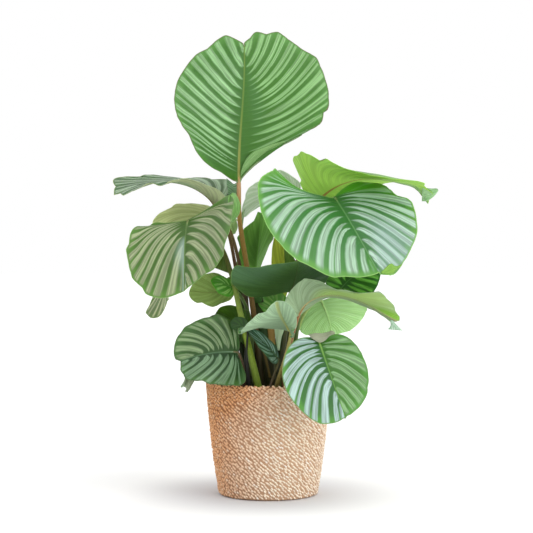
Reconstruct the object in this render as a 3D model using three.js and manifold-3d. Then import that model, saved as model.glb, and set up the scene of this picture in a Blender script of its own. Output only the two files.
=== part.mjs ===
// A round-leaved calathea in a woven basket: striped leaf blades on stalks that rise from one clump, the
// soil and the plastic nursery pot that they grow in, and the basket that hides the pot.
// Millimetres, +Z up. The origin is the middle of the basket's underside, and -Y is the front.
import * as THREE from "three";
import { mergeVertices } from "three/addons/utils/BufferGeometryUtils.js";
import Module from "manifold-3d";

const wasm = await Module();
wasm.setup();

// Clearance that neighbouring pieces keep.
const GAP = 0.3;

// Basket
const BASKET_HEIGHT = 180;
const BASKET_TOP_RADIUS = 100;
const BASKET_BOTTOM_RADIUS = 79;
const BASKET_WALL = 4;
const BASKET_BELLY = 2.5;
const BASKET_FOOT_ROUND = 5;
const BASKET_SIDES = 48;

// Nursery pot, which stands on the basket's floor
const POT_HEIGHT = 157;
const POT_TOP_RADIUS = 84;
const POT_BOTTOM_RADIUS = 64;
const POT_WALL = 1.6;
const POT_RIM_WIDTH = 4;
const POT_RIM_HEIGHT = 9;
const POT_SIDES = 32;

// Soil
const SOIL_BELOW_RIM = 9;
const SOIL_MOUND = 4;
const STALK_DEPTH = 22;

// Leaf blades
const BLADE_THICKNESS = 0.8;
const RIB_HEIGHT_AT_BASE = 2.2;
const RIB_HEIGHT_AT_TIP = 0.4;
const RIB_STEPS = 32;
const VEIN_ROWS = 13;
const HALF_COLUMNS = 4;

// Stalks
const STALK_SIDES = 6;
const STALK_STEPS = 12;
const STALK_TOP_RADIUS = 2.3;
const STALK_BOTTOM_RADIUS = 4.2;

const DEGREE = Math.PI / 180;

// The form of one half of a blade: its width, how far its base lobe reaches back and its tip lobe forward as
// shares of the blade's length, how much wider it is near the base, how round its outline is, and the angles
// by which it is folded up at the midrib and curled up on its way to the margin, from base to tip.
function half(width, form = {}) {
  return { width, lobe: 0.05, notch: 0, skew: 0.1, round: 0.85, fold: [0, 0], curl: [0, 0], ...form };
}

// Each leaf: the point where its blade meets its stalk, the way its midrib runs from base to tip (azimuth from
// +X and pitch from level) and how the blade is rolled about it, its length, its two halves, and its stalk's
// root on the soil with the points that the stalk passes on its way up, and how far short of the blade's base
// it ends.
const LEAVES = {
  top: {
    base: [-47, 5, 496],
    azimuth: [125, 112],
    pitch: [84, 100, 84],
    roll: [2, 0],
    length: 219,
    left: half(116, { lobe: -0.08, notch: 0.07, skew: 0, round: 0.94, fold: [10, -7], curl: [20, -10] }),
    right: half(137, { lobe: -0.17, notch: 0.14, skew: -0.23, round: 1.28, fold: [26, 12], curl: [10, -10] }),
    wave: 3,
    root: [-10, -4],
    via: [[-20, -3, 260], [-34, 0, 360], [-46, 2, 440]],
    seat: 1.3,
    radius: [3.4, 5],
    colour: "green",
    stalkColour: "tan",
  },
  far_left: {
    base: [-81, 18, 453],
    azimuth: [177, 180, 207],
    pitch: [61, 4, -26],
    roll: [9, 11, 33],
    length: 189,
    left: half(56, { lobe: 0, notch: -0.04, skew: 0.18, round: 0.6, fold: [57, 11, 19], curl: [-18, 0] }),
    right: half(69, { skew: 0.17, round: 0.73, fold: [53, 3, 18], curl: [-8, -3] }),
    wave: 3,
    root: [-22, 12],
    via: [[-37, 6, 309], [-47, 6, 368], [-61, 10, 418]],
    seat: 0.6,
    colour: "pale",
    stalkColour: "brown",
  },
  big_left: {
    base: [-126, -38, 435],
    azimuth: [-98, -102],
    pitch: [-30, -85, -80],
    roll: [-14, -8],
    length: 120,
    left: half(87, { lobe: 0.1, notch: -0.06, skew: 0.53, round: 0.93, fold: [8, 15], curl: [23, 8] }),
    right: half(93, { lobe: 0.09, notch: 0.11, skew: 0, round: 0.7, fold: [0, 12], curl: [20, 3] }),
    wave: 3,
    root: [-13, -40],
    via: [[-18, -40, 182], [-43, -38, 286], [-58, -34, 350], [-76, -30, 396], [-104, -32, 424]],
    seat: 4,
    radius: [2.6, 6],
    colour: "green",
    stalkColour: "green",
  },
  left_behind: {
    base: [-76, 34, 447],
    azimuth: [131, 208],
    pitch: [10, -65, -71],
    roll: [-15, 0],
    length: 226,
    left: half(96, { lobe: 0.11, notch: -0.11, skew: 0.07, round: 0.81, fold: [9, 0], curl: [-26, 18] }),
    right: half(76, { notch: 0.04, skew: 0, round: 0.8, fold: [3, 13] }),
    wave: 3,
    root: [-36, 6],
    via: [[-44, 18, 300], [-54, 20, 368], [-64, 26, 415]],
    seat: 3,
    colour: "olive",
    stalkColour: "brown",
  },
  small_back: {
    base: [49, 70, 479],
    azimuth: [179, 198],
    pitch: [19, -19, -44],
    roll: [-53, -37],
    length: 103,
    left: half(39, { notch: -0.03, fold: [13, 8] }),
    right: half(31, { fold: [11, 7] }),
    wave: 3,
    root: [2, 40],
    via: [[20, 52, 276], [30, 62, 373]],
    seat: 4.2,
    colour: "pale",
    stalkColour: "green",
  },
  upper_right: {
    base: [80, 45, 466],
    azimuth: [-53, -15, 17],
    pitch: [40, 0, -47],
    roll: [49, 0, -2],
    length: 213,
    left: half(55, { lobe: 0.24, notch: -0.07, skew: 0.29, fold: [-6, -12, 24] }),
    right: half(85, { lobe: 0.06, skew: 0.14, round: 0.73, fold: [24, 6, 22], curl: [34, -2, -6] }),
    wave: 3,
    root: [24, 14],
    via: [[44, 28, 324], [53, 40, 405]],
    seat: 5.8,
    colour: "lime",
    stalkColour: "brown",
  },
  big_right: {
    base: [105, -25, 471],
    azimuth: [-69, -58],
    pitch: [-32, -42, -47],
    roll: [-15, -20],
    length: 179,
    left: half(97, { lobe: 0.18, notch: 0.04, skew: 0, round: 1, fold: [14, 11], curl: [-21, 7] }),
    right: half(161, { lobe: 0.1, notch: 0.03, skew: 0.25, round: 1.08, fold: [16, 7], curl: [59, -19] }),
    wave: 3,
    root: [30, -6],
    via: [[40, 6, 290], [62, 6, 345], [90, -2, 404]],
    seat: 3.3,
    radius: [3, 4.6],
    colour: "green",
    stalkColour: "green",
  },
  middle: {
    base: [35, -12, 323],
    azimuth: [-78, -93],
    pitch: [24, 25, 6],
    roll: [-10, -7],
    length: 130,
    left: half(55, { skew: 0.13, fold: [-6, -8] }),
    right: half(103, { notch: -0.07, skew: -0.04, round: 0.71, fold: [-4, -4], curl: [16, 25] }),
    wave: 4,
    root: [12, -16],
    via: [[26, -13, 245]],
    seat: 3.6,
    colour: "dark",
    stalkColour: "green",
  },
  narrow_back: {
    base: [-22, 46, 336],
    azimuth: [-68, -78],
    pitch: [88, 66, 91],
    roll: [-19, 9],
    length: 119,
    left: half(38, { lobe: -0.03, notch: -0.04, fold: [47, 25] }),
    right: half(35, { lobe: 0, notch: -0.1, skew: 0.13, fold: [25, 22] }),
    wave: 2,
    root: [-6, 26],
    via: [[-14, 38, 270]],
    seat: 1,
    colour: "green",
    stalkColour: "green",
  },
  rolled_young: {
    base: [23, 50, 308],
    azimuth: [-86, -75],
    pitch: [84, 84, 79],
    roll: [2, -7],
    length: 122,
    left: half(13, { lobe: 0, fold: [20, 22] }),
    right: half(19, { lobe: 0, skew: 0, fold: [22, 21] }),
    wave: 1,
    root: [12, 26],
    via: [[19, 38, 245]],
    seat: 1.1,
    colour: "lime",
    stalkColour: "green",
  },
  under_right: {
    base: [115, -15, 326],
    azimuth: [2, 4],
    pitch: [55, 27, 3],
    roll: [-61, -66],
    length: 80,
    left: half(36, { lobe: 0.18, skew: 0.13, fold: [11, 10] }),
    right: half(42, { lobe: 0.08, notch: -0.07, fold: [2, -2] }),
    wave: 2,
    root: [36, -30],
    via: [[46, -36, 266], [52, -42, 296], [66, -40, 314], [92, -28, 325]],
    seat: 3,
    radius: [2, 3.8],
    colour: "dark",
    stalkColour: "green",
  },
  arching_right: {
    base: [47, -62, 287],
    azimuth: [39, -11, 6],
    pitch: [65, -13, -29],
    roll: [56, 14, 61],
    length: 177,
    left: half(16, { lobe: 0.02, notch: -0.04, skew: 0.14, round: 0.9, fold: [-10, -5, 9] }),
    right: half(67, { notch: -0.03, skew: 0.42, round: 0.9, fold: [21, 0, 41], curl: [-12, 5] }),
    wave: 2,
    root: [24, -38],
    via: [[26, -40, 208], [35, -44, 244]],
    seat: 1.8,
    colour: "pale",
    stalkColour: "brown",
  },
  lower_right_back: {
    base: [85, -2, 308],
    azimuth: [53, 80],
    pitch: [-54, -51, -60],
    roll: [9, 21],
    length: 79,
    left: half(49, { lobe: 0.07, skew: -0.09, fold: [-3, -9] }),
    right: half(66, { lobe: 0.11, notch: -0.07, skew: 0.11, fold: [7, 7] }),
    wave: 2,
    root: [20, -24],
    via: [[32, -24, 229], [46, -24, 261], [56, -24, 286], [70, -22, 303]],
    seat: 3,
    radius: [2, 3.8],
    colour: "lime",
    stalkColour: "green",
  },
  left_pointing: {
    base: [35, -72, 263],
    azimuth: [-111, -107],
    pitch: [36, 28, 57],
    roll: [20, -26],
    length: 86,
    left: half(39, { lobe: 0.1, notch: 0.03, skew: 0, round: 0.79, fold: [-50, -36] }),
    right: half(86, { notch: 0.04, skew: 0.21, round: 0.76, fold: [-13, -25], curl: [-6, 0] }),
    wave: 2,
    root: [8, -38],
    via: [[23, -60, 209], [31, -71, 240]],
    seat: 4.5,
    colour: "pale",
    stalkColour: "green",
  },
  lower_left: {
    base: [-48, -62, 229],
    azimuth: [-162, -176],
    pitch: [5, -8, -21],
    roll: [64, 65],
    length: 91,
    left: half(57, { lobe: 0.14, notch: 0.05, skew: 0.26, round: 0.5, fold: [7, 11], curl: [11, 5] }),
    right: half(58, { lobe: 0, notch: 0.02, skew: 0.17, round: 0.56, fold: [6, 10], curl: [-16, 4] }),
    wave: 2,
    root: [-38, -46],
    via: [[-40, -52, 205]],
    seat: 4.5,
    colour: "dark",
    stalkColour: "brown",
  },
  lower_right: {
    base: [75, -105, 253],
    azimuth: [-62, -54],
    pitch: [-55, -57, -60],
    roll: [-6, -7],
    length: 137,
    left: half(67, { lobe: 0.08, notch: -0.05, skew: 0.19, round: 0.71, fold: [8, 4], curl: [-29, -10] }),
    right: half(81, { lobe: 0.06, notch: 0.07, skew: -0.13, round: 0.93, fold: [9, 3], curl: [-2, -13] }),
    wave: 2,
    root: [32, -44],
    via: [[40, -58, 190], [58, -86, 235]],
    seat: 3,
    radius: [2.8, 4.2],
    colour: "green",
    stalkColour: "green",
  },
  folded_young: {
    base: [16, -38, 216],
    azimuth: [196, 191],
    pitch: [54, 44, 37],
    roll: [60, 51],
    length: 68,
    left: half(23, { lobe: 0.07, skew: 0.14, round: 0.8, fold: [15, 24] }),
    right: half(11, { lobe: -0.05, fold: [18, 20] }),
    wave: 1,
    root: [-2, -52],
    via: [[8, -46, 190]],
    seat: 4.3,
    radius: [1.8, 3],
    colour: "dark",
    stalkColour: "brown",
  },
  behind_lower_left: {
    base: [-36, -8, 253],
    azimuth: [156, 182],
    pitch: [36, 5, 4],
    roll: [-65, -37],
    length: 77,
    left: half(46, { skew: 0.17, round: 0.9, fold: [3, -14] }),
    right: half(40, { lobe: 0.1 }),
    wave: 2,
    root: [-34, -20],
    via: [[-36, -14, 213]],
    seat: 4.5,
    radius: [2, 3.4],
    colour: "green",
    stalkColour: "dark",
  },
  under_left: {
    base: [-54, -5, 325],
    azimuth: [188, 195],
    pitch: [-6, -3, 13],
    roll: [-74, -79],
    length: 73,
    left: half(34, { skew: 0.16, round: 0.9 }),
    right: half(22, { lobe: 0, skew: 0.04 }),
    wave: 2,
    root: [-30, -2],
    via: [[-30, -2, 250], [-32, -2, 285], [-42, -3, 312]],
    seat: 3,
    colour: "olive",
    stalkColour: "green",
  },
  small_under_left: {
    base: [-54, -22, 328],
    azimuth: [194, 184],
    pitch: [15, 24, -19],
    roll: [69, 66],
    length: 39,
    left: half(19, { skew: 0.18 }),
    right: half(11, { lobe: 0 }),
    wave: 1,
    root: [-22, -14],
    via: [[-26, -12, 250], [-30, -12, 285], [-42, -18, 312]],
    seat: 2.2,
    radius: [1.8, 3.2],
    colour: "lime",
    stalkColour: "green",
  },
  hanging_lower_left: {
    base: [-51, -14, 239],
    azimuth: [182, 204],
    pitch: [20, -45, -60],
    roll: [-54, -22],
    length: 122,
    left: half(36, { fold: [-2, -12] }),
    right: half(36, { fold: [2, 11] }),
    wave: 2,
    root: [-42, -30],
    via: [[-48, -20, 205]],
    seat: 4.3,
    radius: [2, 3.4],
    colour: "pale",
    stalkColour: "dark",
  },
  small_dark: {
    base: [-34, -50, 266],
    azimuth: [179, 176],
    pitch: [23, 12, -5],
    roll: [82, 78],
    length: 26,
    left: half(9, { lobe: 0 }),
    right: half(14, { lobe: 0 }),
    wave: 0.5,
    root: [-28, -50],
    via: [[-34, -50, 225]],
    seat: 3,
    radius: [1.5, 2.6],
    colour: "dark",
    stalkColour: "dark",
  },
  small_middle: {
    base: [21, 5, 280],
    azimuth: [125, 119],
    pitch: [59, 47, 35],
    roll: [0, 16],
    length: 57,
    left: half(29, { fold: [0, -6] }),
    right: half(24, { fold: [0, 7] }),
    wave: 1,
    root: [4, 6],
    via: [[12, 4, 230]],
    seat: 2.1,
    radius: [1.8, 3],
    colour: "lime",
    stalkColour: "green",
  },
};

const COLOURS = {
  green: 0x4f8f3f,
  pale: 0x9fb898,
  olive: 0x7f8f4a,
  lime: 0x8fc058,
  dark: 0x2f5f2f,
  brown: 0x7a5a35,
  tan: 0xb08a55,
  basket: 0xcfa273,
  pot: 0x2b2b2b,
  soil: 0x2e2118,
};

function material(colour, roughness) {
  return new THREE.MeshStandardMaterial({ color: COLOURS[colour], roughness, metalness: 0 });
}

// A value that runs along the midrib through two or three given ones.
function along(values, s) {
  if (values.length === 2) return values[0] + (values[1] - values[0]) * s;
  const [start, middle, end] = values;
  return start * (1 - s) * (1 - 2 * s) + 4 * middle * s * (1 - s) + end * s * (2 * s - 1);
}

// The directions at one place of a midrib: along it, to the blade's right, and out of its upper side.
function directions(leaf, s) {
  const azimuth = along(leaf.azimuth, s) * DEGREE;
  const pitch = along(leaf.pitch, s) * DEGREE;
  const roll = along(leaf.roll, s) * DEGREE;
  const forward = new THREE.Vector3(
    Math.cos(pitch) * Math.cos(azimuth),
    Math.cos(pitch) * Math.sin(azimuth),
    Math.sin(pitch),
  );
  const side = new THREE.Vector3(Math.sin(azimuth), -Math.cos(azimuth), 0).applyAxisAngle(forward, -roll);
  const up = new THREE.Vector3().crossVectors(side, forward);
  return { forward, side, up };
}

// The midrib as a list of points with their directions.
function midrib(leaf) {
  const point = new THREE.Vector3(...leaf.base);
  const rib = [];
  for (let i = 0; i <= RIB_STEPS; i++) {
    rib.push({ point: point.clone(), ...directions(leaf, i / RIB_STEPS) });
    const ahead = directions(leaf, Math.min((i + 0.5) / RIB_STEPS, 1)).forward;
    point.addScaledVector(ahead, leaf.length / RIB_STEPS);
  }
  return rib;
}

// The place and directions at a distance along the midrib, straight on past its ends.
function atMidrib(leaf, rib, distance) {
  const inside = THREE.MathUtils.clamp(distance, 0, leaf.length);
  const f = (inside / leaf.length) * RIB_STEPS;
  const i = Math.min(Math.floor(f), RIB_STEPS - 1);
  const mix = (key) => rib[i][key].clone().lerp(rib[i + 1][key], f - i);
  const forward = mix("forward");
  const point = mix("point").addScaledVector(forward, distance - inside);
  return { point, side: mix("side"), up: mix("up"), share: inside / leaf.length };
}

// A point of the blade: vein 0 leaves the midrib at its base and vein 1 at its tip, and out runs from the
// midrib to the margin. Sign is 1 on the right half and -1 on the left.
function bladePoint(leaf, rib, vein, out, sign) {
  const form = sign > 0 ? leaf.right : leaf.left;
  const turn = Math.PI * vein;
  const start = leaf.length * vein * (0.12 + 0.88 * vein ** 1.6);
  const reach =
    0.5 * (1 - Math.cos(turn)) -
    form.lobe * 2.5 * Math.sin(turn) * (1 - vein) ** 2 +
    form.notch * 5.8 * Math.sin(turn) * vein ** 6;
  const width = form.width * Math.sin(turn) ** form.round * (1 + form.skew * Math.cos(turn));
  const distance = start + (leaf.length * reach - start) * out ** 1.2;
  const across = width * out;
  const { point, side, up, share } = atMidrib(leaf, rib, distance);
  const fold = along(form.fold, share) * DEGREE;
  const curl = along(form.curl, share) * DEGREE;
  const bend = (Math.abs(curl) < 0.001 ? 0.001 : curl) / form.width;
  const turned = fold + bend * across;
  const sideways = (Math.sin(turned) - Math.sin(fold)) / bend;
  const phase = sign > 0 ? 0.25 : 0;
  const wave = leaf.wave * out ** 2 * Math.sin(turn) * Math.sin(2 * Math.PI * (3 * vein + phase));
  const upwards = (Math.cos(fold) - Math.cos(turned)) / bend + wave;
  return point.addScaledVector(side, sign * sideways).addScaledVector(up, upwards);
}

// A blade as one closed sheet, thicker along the midrib's underside.
function bladeGeometry(leaf) {
  const rib = midrib(leaf);
  const rowLength = 2 * HALF_COLUMNS + 1;
  const points = [bladePoint(leaf, rib, 0, 0, 1)];
  const ribHeights = [RIB_HEIGHT_AT_BASE];
  for (let row = 1; row < VEIN_ROWS; row++) {
    const vein = row / VEIN_ROWS;
    for (let column = -HALF_COLUMNS; column <= HALF_COLUMNS; column++) {
      const out = Math.abs(column) / HALF_COLUMNS;
      points.push(bladePoint(leaf, rib, vein, out, column < 0 ? -1 : 1));
      const height = THREE.MathUtils.lerp(RIB_HEIGHT_AT_BASE, RIB_HEIGHT_AT_TIP, vein);
      ribHeights.push(column === 0 ? height : 0);
    }
  }
  points.push(bladePoint(leaf, rib, 1, 0, 1));
  ribHeights.push(RIB_HEIGHT_AT_TIP);

  const tip = points.length - 1;
  const at = (row, column) => 1 + (row - 1) * rowLength + column;
  const faces = [];
  for (let column = 0; column < rowLength - 1; column++) {
    faces.push([0, at(1, column + 1), at(1, column)]);
    faces.push([tip, at(VEIN_ROWS - 1, column), at(VEIN_ROWS - 1, column + 1)]);
    for (let row = 1; row < VEIN_ROWS - 1; row++) {
      const [a, b] = [at(row, column), at(row, column + 1)];
      const [c, d] = [at(row + 1, column), at(row + 1, column + 1)];
      if (column < HALF_COLUMNS) faces.push([a, b, c], [b, d, c]);
      else faces.push([a, b, d], [a, d, c]);
    }
  }
  const edge = [0];
  for (let row = 1; row < VEIN_ROWS; row++) edge.push(at(row, rowLength - 1));
  edge.push(tip);
  for (let row = VEIN_ROWS - 1; row > 0; row--) edge.push(at(row, 0));

  const sheet = new THREE.BufferGeometry().setFromPoints(points);
  sheet.setIndex(faces.flat());
  sheet.computeVertexNormals();
  const normals = sheet.getAttribute("normal");
  const solid = [];
  for (const share of [0.5, -0.5]) {
    points.forEach((point, i) => {
      const normal = new THREE.Vector3().fromBufferAttribute(normals, i);
      const below = share < 0 ? ribHeights[i] : 0;
      solid.push(point.clone().addScaledVector(normal, share * BLADE_THICKNESS - below));
    });
  }
  const count = points.length;
  const index = faces.flatMap(([a, b, c]) => [a, b, c, c + count, b + count, a + count]);
  edge.forEach((a, i) => {
    const b = edge[(i + 1) % edge.length];
    index.push(a, a + count, b, b, a + count, b + count);
  });
  return new THREE.BufferGeometry().setFromPoints(solid).setIndex(index);
}

// A tapering round bar along a curve, closed at both ends; more widens it all round and lengthens its foot.
function barGeometry(curve, bottomRadius, topRadius, more = 0) {
  const frames = curve.computeFrenetFrames(STALK_STEPS, false);
  const points = [];
  for (let step = 0; step <= STALK_STEPS; step++) {
    const centre = curve.getPointAt(step / STALK_STEPS);
    if (step === 0) centre.addScaledVector(frames.tangents[0], -more);
    const radius = THREE.MathUtils.lerp(bottomRadius, topRadius, step / STALK_STEPS) + more;
    for (let side = 0; side < STALK_SIDES; side++) {
      const turn = (2 * Math.PI * side) / STALK_SIDES;
      const point = centre.clone().addScaledVector(frames.normals[step], radius * Math.cos(turn));
      points.push(point.addScaledVector(frames.binormals[step], radius * Math.sin(turn)));
    }
  }
  const index = [];
  for (let step = 0; step < STALK_STEPS; step++) {
    for (let side = 0; side < STALK_SIDES; side++) {
      const next = (side + 1) % STALK_SIDES;
      const [a, b] = [step * STALK_SIDES + side, step * STALK_SIDES + next];
      index.push(a, b, a + STALK_SIDES, b, b + STALK_SIDES, a + STALK_SIDES);
    }
  }
  const last = STALK_STEPS * STALK_SIDES;
  for (let side = 1; side < STALK_SIDES - 1; side++) {
    index.push(0, side + 1, side, last, last + side, last + side + 1);
  }
  return new THREE.BufferGeometry().setFromPoints(points).setIndex(index);
}

const soilTop = BASKET_WALL + GAP + POT_HEIGHT - SOIL_BELOW_RIM;

// The stalk's line, from its foot in the soil to just short of the blade.
function stalkCurve(leaf) {
  const [x, y] = leaf.root;
  const foot = new THREE.Vector3(x, y, soilTop - STALK_DEPTH);
  const collar = new THREE.Vector3(x, y, soilTop + SOIL_MOUND);
  const via = leaf.via.map((point) => new THREE.Vector3(...point));
  const end = new THREE.Vector3(...leaf.base);
  const before = via[via.length - 1].clone().sub(end).normalize();
  end.addScaledVector(before, leaf.seat);
  return new THREE.CatmullRomCurve3([foot, collar, ...via, end], false, "centripetal");
}

function stalkRadii(leaf) {
  return leaf.radius ?? [STALK_TOP_RADIUS, STALK_BOTTOM_RADIUS];
}

function stalkGeometry(leaf, more = 0) {
  const [top, bottom] = stalkRadii(leaf);
  return barGeometry(stalkCurve(leaf), bottom, top, more);
}

// An open vessel turned from a closed outline of [radius, height] points.
function turned(outline, sides) {
  const profile = outline.map(([radius, height]) => new THREE.Vector2(radius, height));
  return new THREE.LatheGeometry(profile, sides).rotateX(Math.PI / 2);
}

function basketGeometry() {
  const slope = (BASKET_TOP_RADIUS - BASKET_BOTTOM_RADIUS) / BASKET_HEIGHT;
  const wallAt = (height) =>
    BASKET_BOTTOM_RADIUS + slope * height + BASKET_BELLY * Math.sin((Math.PI * height) / BASKET_HEIGHT);
  const heights = [BASKET_FOOT_ROUND, 45, 90, 135, BASKET_HEIGHT - BASKET_WALL / 2];
  const outside = heights.map((height) => [wallAt(height), height]);
  const inside = heights.slice(1).reverse().map((height) => [wallAt(height) - BASKET_WALL, height]);
  const outline = [
    [0, 0],
    [BASKET_BOTTOM_RADIUS - BASKET_FOOT_ROUND, 0],
    [BASKET_BOTTOM_RADIUS - 0.3 * BASKET_FOOT_ROUND, 0.3 * BASKET_FOOT_ROUND],
    ...outside,
    [BASKET_TOP_RADIUS - BASKET_WALL / 2, BASKET_HEIGHT],
    ...inside,
    [wallAt(BASKET_WALL) - BASKET_WALL - 1, BASKET_WALL],
    [0, BASKET_WALL],
  ];
  return turned(outline, BASKET_SIDES);
}

function potGeometry() {
  const floor = BASKET_WALL + GAP;
  const rim = floor + POT_HEIGHT;
  const under = rim - POT_RIM_HEIGHT;
  const outline = [
    [0, floor],
    [POT_BOTTOM_RADIUS, floor],
    [POT_TOP_RADIUS - POT_RIM_WIDTH, under],
    [POT_TOP_RADIUS, under],
    [POT_TOP_RADIUS, rim],
    [POT_TOP_RADIUS - POT_RIM_WIDTH, rim],
    [POT_TOP_RADIUS - POT_RIM_WIDTH - POT_WALL, under],
    [POT_BOTTOM_RADIUS - POT_WALL, floor + POT_WALL],
    [0, floor + POT_WALL],
  ];
  return turned(outline, POT_SIDES);
}

// The soil fills the pot up to a little below its rim, with a low mound in the middle.
function soilBody() {
  const floor = BASKET_WALL + GAP + POT_WALL + GAP;
  const under = BASKET_WALL + GAP + POT_HEIGHT - POT_RIM_HEIGHT;
  const inner = POT_TOP_RADIUS - POT_RIM_WIDTH - POT_WALL - GAP;
  const outline = [
    [0, floor],
    [POT_BOTTOM_RADIUS - POT_WALL - GAP, floor],
    [inner, under],
    [inner, soilTop - 1],
    [0.6 * inner, soilTop + 0.6 * SOIL_MOUND],
    [0, soilTop + SOIL_MOUND],
  ];
  return turned(outline, POT_SIDES);
}

// A closed geometry as a solid for joining and cutting, and back again.
function solidOf(geometry) {
  const plain = geometry.clone();
  plain.deleteAttribute("normal");
  plain.deleteAttribute("uv");
  const merged = mergeVertices(plain, 0.001);
  return new wasm.Manifold(
    new wasm.Mesh({
      numProp: 3,
      vertProperties: merged.getAttribute("position").array,
      triVerts: new Uint32Array(merged.index.array),
    }),
  );
}

function geometryOf(solid) {
  const mesh = solid.getMesh();
  const geometry = new THREE.BufferGeometry();
  geometry.setAttribute("position", new THREE.BufferAttribute(mesh.vertProperties, 3));
  return geometry.setIndex(new THREE.BufferAttribute(mesh.triVerts, 1));
}

// The soil with a plain hole for each stalk.
function soilGeometry() {
  let soil = solidOf(soilBody());
  for (const leaf of Object.values(LEAVES)) soil = soil.subtract(solidOf(stalkGeometry(leaf, GAP)));
  return geometryOf(soil);
}

function mesh(name, geometry, colour, roughness) {
  const piece = new THREE.Mesh(geometry, material(colour, roughness));
  piece.name = name;
  return piece;
}

const plant = new THREE.Group();
for (const [name, leaf] of Object.entries(LEAVES)) {
  plant.add(mesh(`${name}_blade`, bladeGeometry(leaf), leaf.colour, 0.45));
  plant.add(mesh(`${name}_stalk`, stalkGeometry(leaf), leaf.stalkColour, 0.5));
}

const group = new THREE.Group();
group.add(
  mesh("basket", basketGeometry(), "basket", 0.9),
  mesh("nursery_pot", potGeometry(), "pot", 0.5),
  mesh("soil", soilGeometry(), "soil", 1),
  plant,
);

export default group;
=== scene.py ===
"""A round-leaved calathea in a woven basket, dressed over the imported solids: striped blades, ribbed stalks,
soil with crumbs, the plastic nursery pot and the woven basket, with a white studio round them."""

import math

import bmesh
import bpy
import numpy as np
from mathutils import Euler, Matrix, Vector, noise


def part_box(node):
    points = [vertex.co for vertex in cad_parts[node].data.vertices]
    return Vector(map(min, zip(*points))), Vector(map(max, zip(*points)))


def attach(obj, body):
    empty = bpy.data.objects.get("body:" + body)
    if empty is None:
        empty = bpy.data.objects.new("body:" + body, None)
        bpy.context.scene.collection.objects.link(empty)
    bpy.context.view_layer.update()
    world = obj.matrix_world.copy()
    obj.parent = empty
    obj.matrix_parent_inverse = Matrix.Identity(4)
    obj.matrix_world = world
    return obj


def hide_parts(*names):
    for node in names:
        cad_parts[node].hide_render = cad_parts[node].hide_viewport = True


bl_info = {
    "name": "Round-leaved calathea in a basket",
    "version": (1, 0, 0),
    "blender": (4, 5, 0),
    "location": "3D View > Sidebar > Calathea",
    "description": "Striped leaf blades on their stalks, soil, a nursery pot and a woven basket",
    "category": "Add Mesh",
}

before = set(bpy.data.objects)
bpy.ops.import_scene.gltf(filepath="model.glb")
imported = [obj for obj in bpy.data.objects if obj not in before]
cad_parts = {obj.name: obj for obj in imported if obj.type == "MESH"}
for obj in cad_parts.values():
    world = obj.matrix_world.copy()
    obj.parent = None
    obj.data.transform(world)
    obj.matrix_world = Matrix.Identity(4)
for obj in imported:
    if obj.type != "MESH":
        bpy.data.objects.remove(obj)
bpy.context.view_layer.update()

MM = 0.001

# The basket's outside in millimetres: its radius at the foot, what it gains up to the rim, and its bulge.
BASKET_FOOT, BASKET_FLARE, BASKET_BULGE = 79, 21, 2.5
BASKET_WALL = 4 * MM
BASKET_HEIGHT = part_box("basket")[1].z

# The nursery pot's radius at the foot and its gain up to the rim, in millimetres, and the height of the
# rim's lower edge.
POT_LOW, POT_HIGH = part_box("nursery_pot")
POT_FOOT, POT_FLARE = 64, 16
POT_RIM_FOOT = POT_HIGH.z - 9 * MM

# The soil's height at the stalks. In millimetres, how far a stalk runs on under its blade, and the size from
# which a blade has all its rows and columns.
SOIL_TOP = 0.1523
STALK_TAIL = 20.0
BIG_BLADE = 110

CAMERA_PLACE = (-0.0029, -2.2, 0.3624)
FLOOR_REACH = 60


def srgb(red, green, blue):
    """A screen colour, 0 to 255 each, as the linear colour that Blender works in."""
    linear = [((c / 255 + 0.055) / 1.055) ** 2.4 if c > 10 else c / 3294.6 for c in (red, green, blue)]
    return (*linear, 1.0)


def half(width, lobe=0.05, notch=0, skew=0.1, round=0.85, fold=(0, 0), curl=(0, 0)):
    """One half of a blade: width, base lobe, tip notch, outline, and its fold and curl from base to tip."""
    return dict(width=width, lobe=lobe, notch=notch, skew=skew, round=round, fold=fold, curl=curl)


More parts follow.
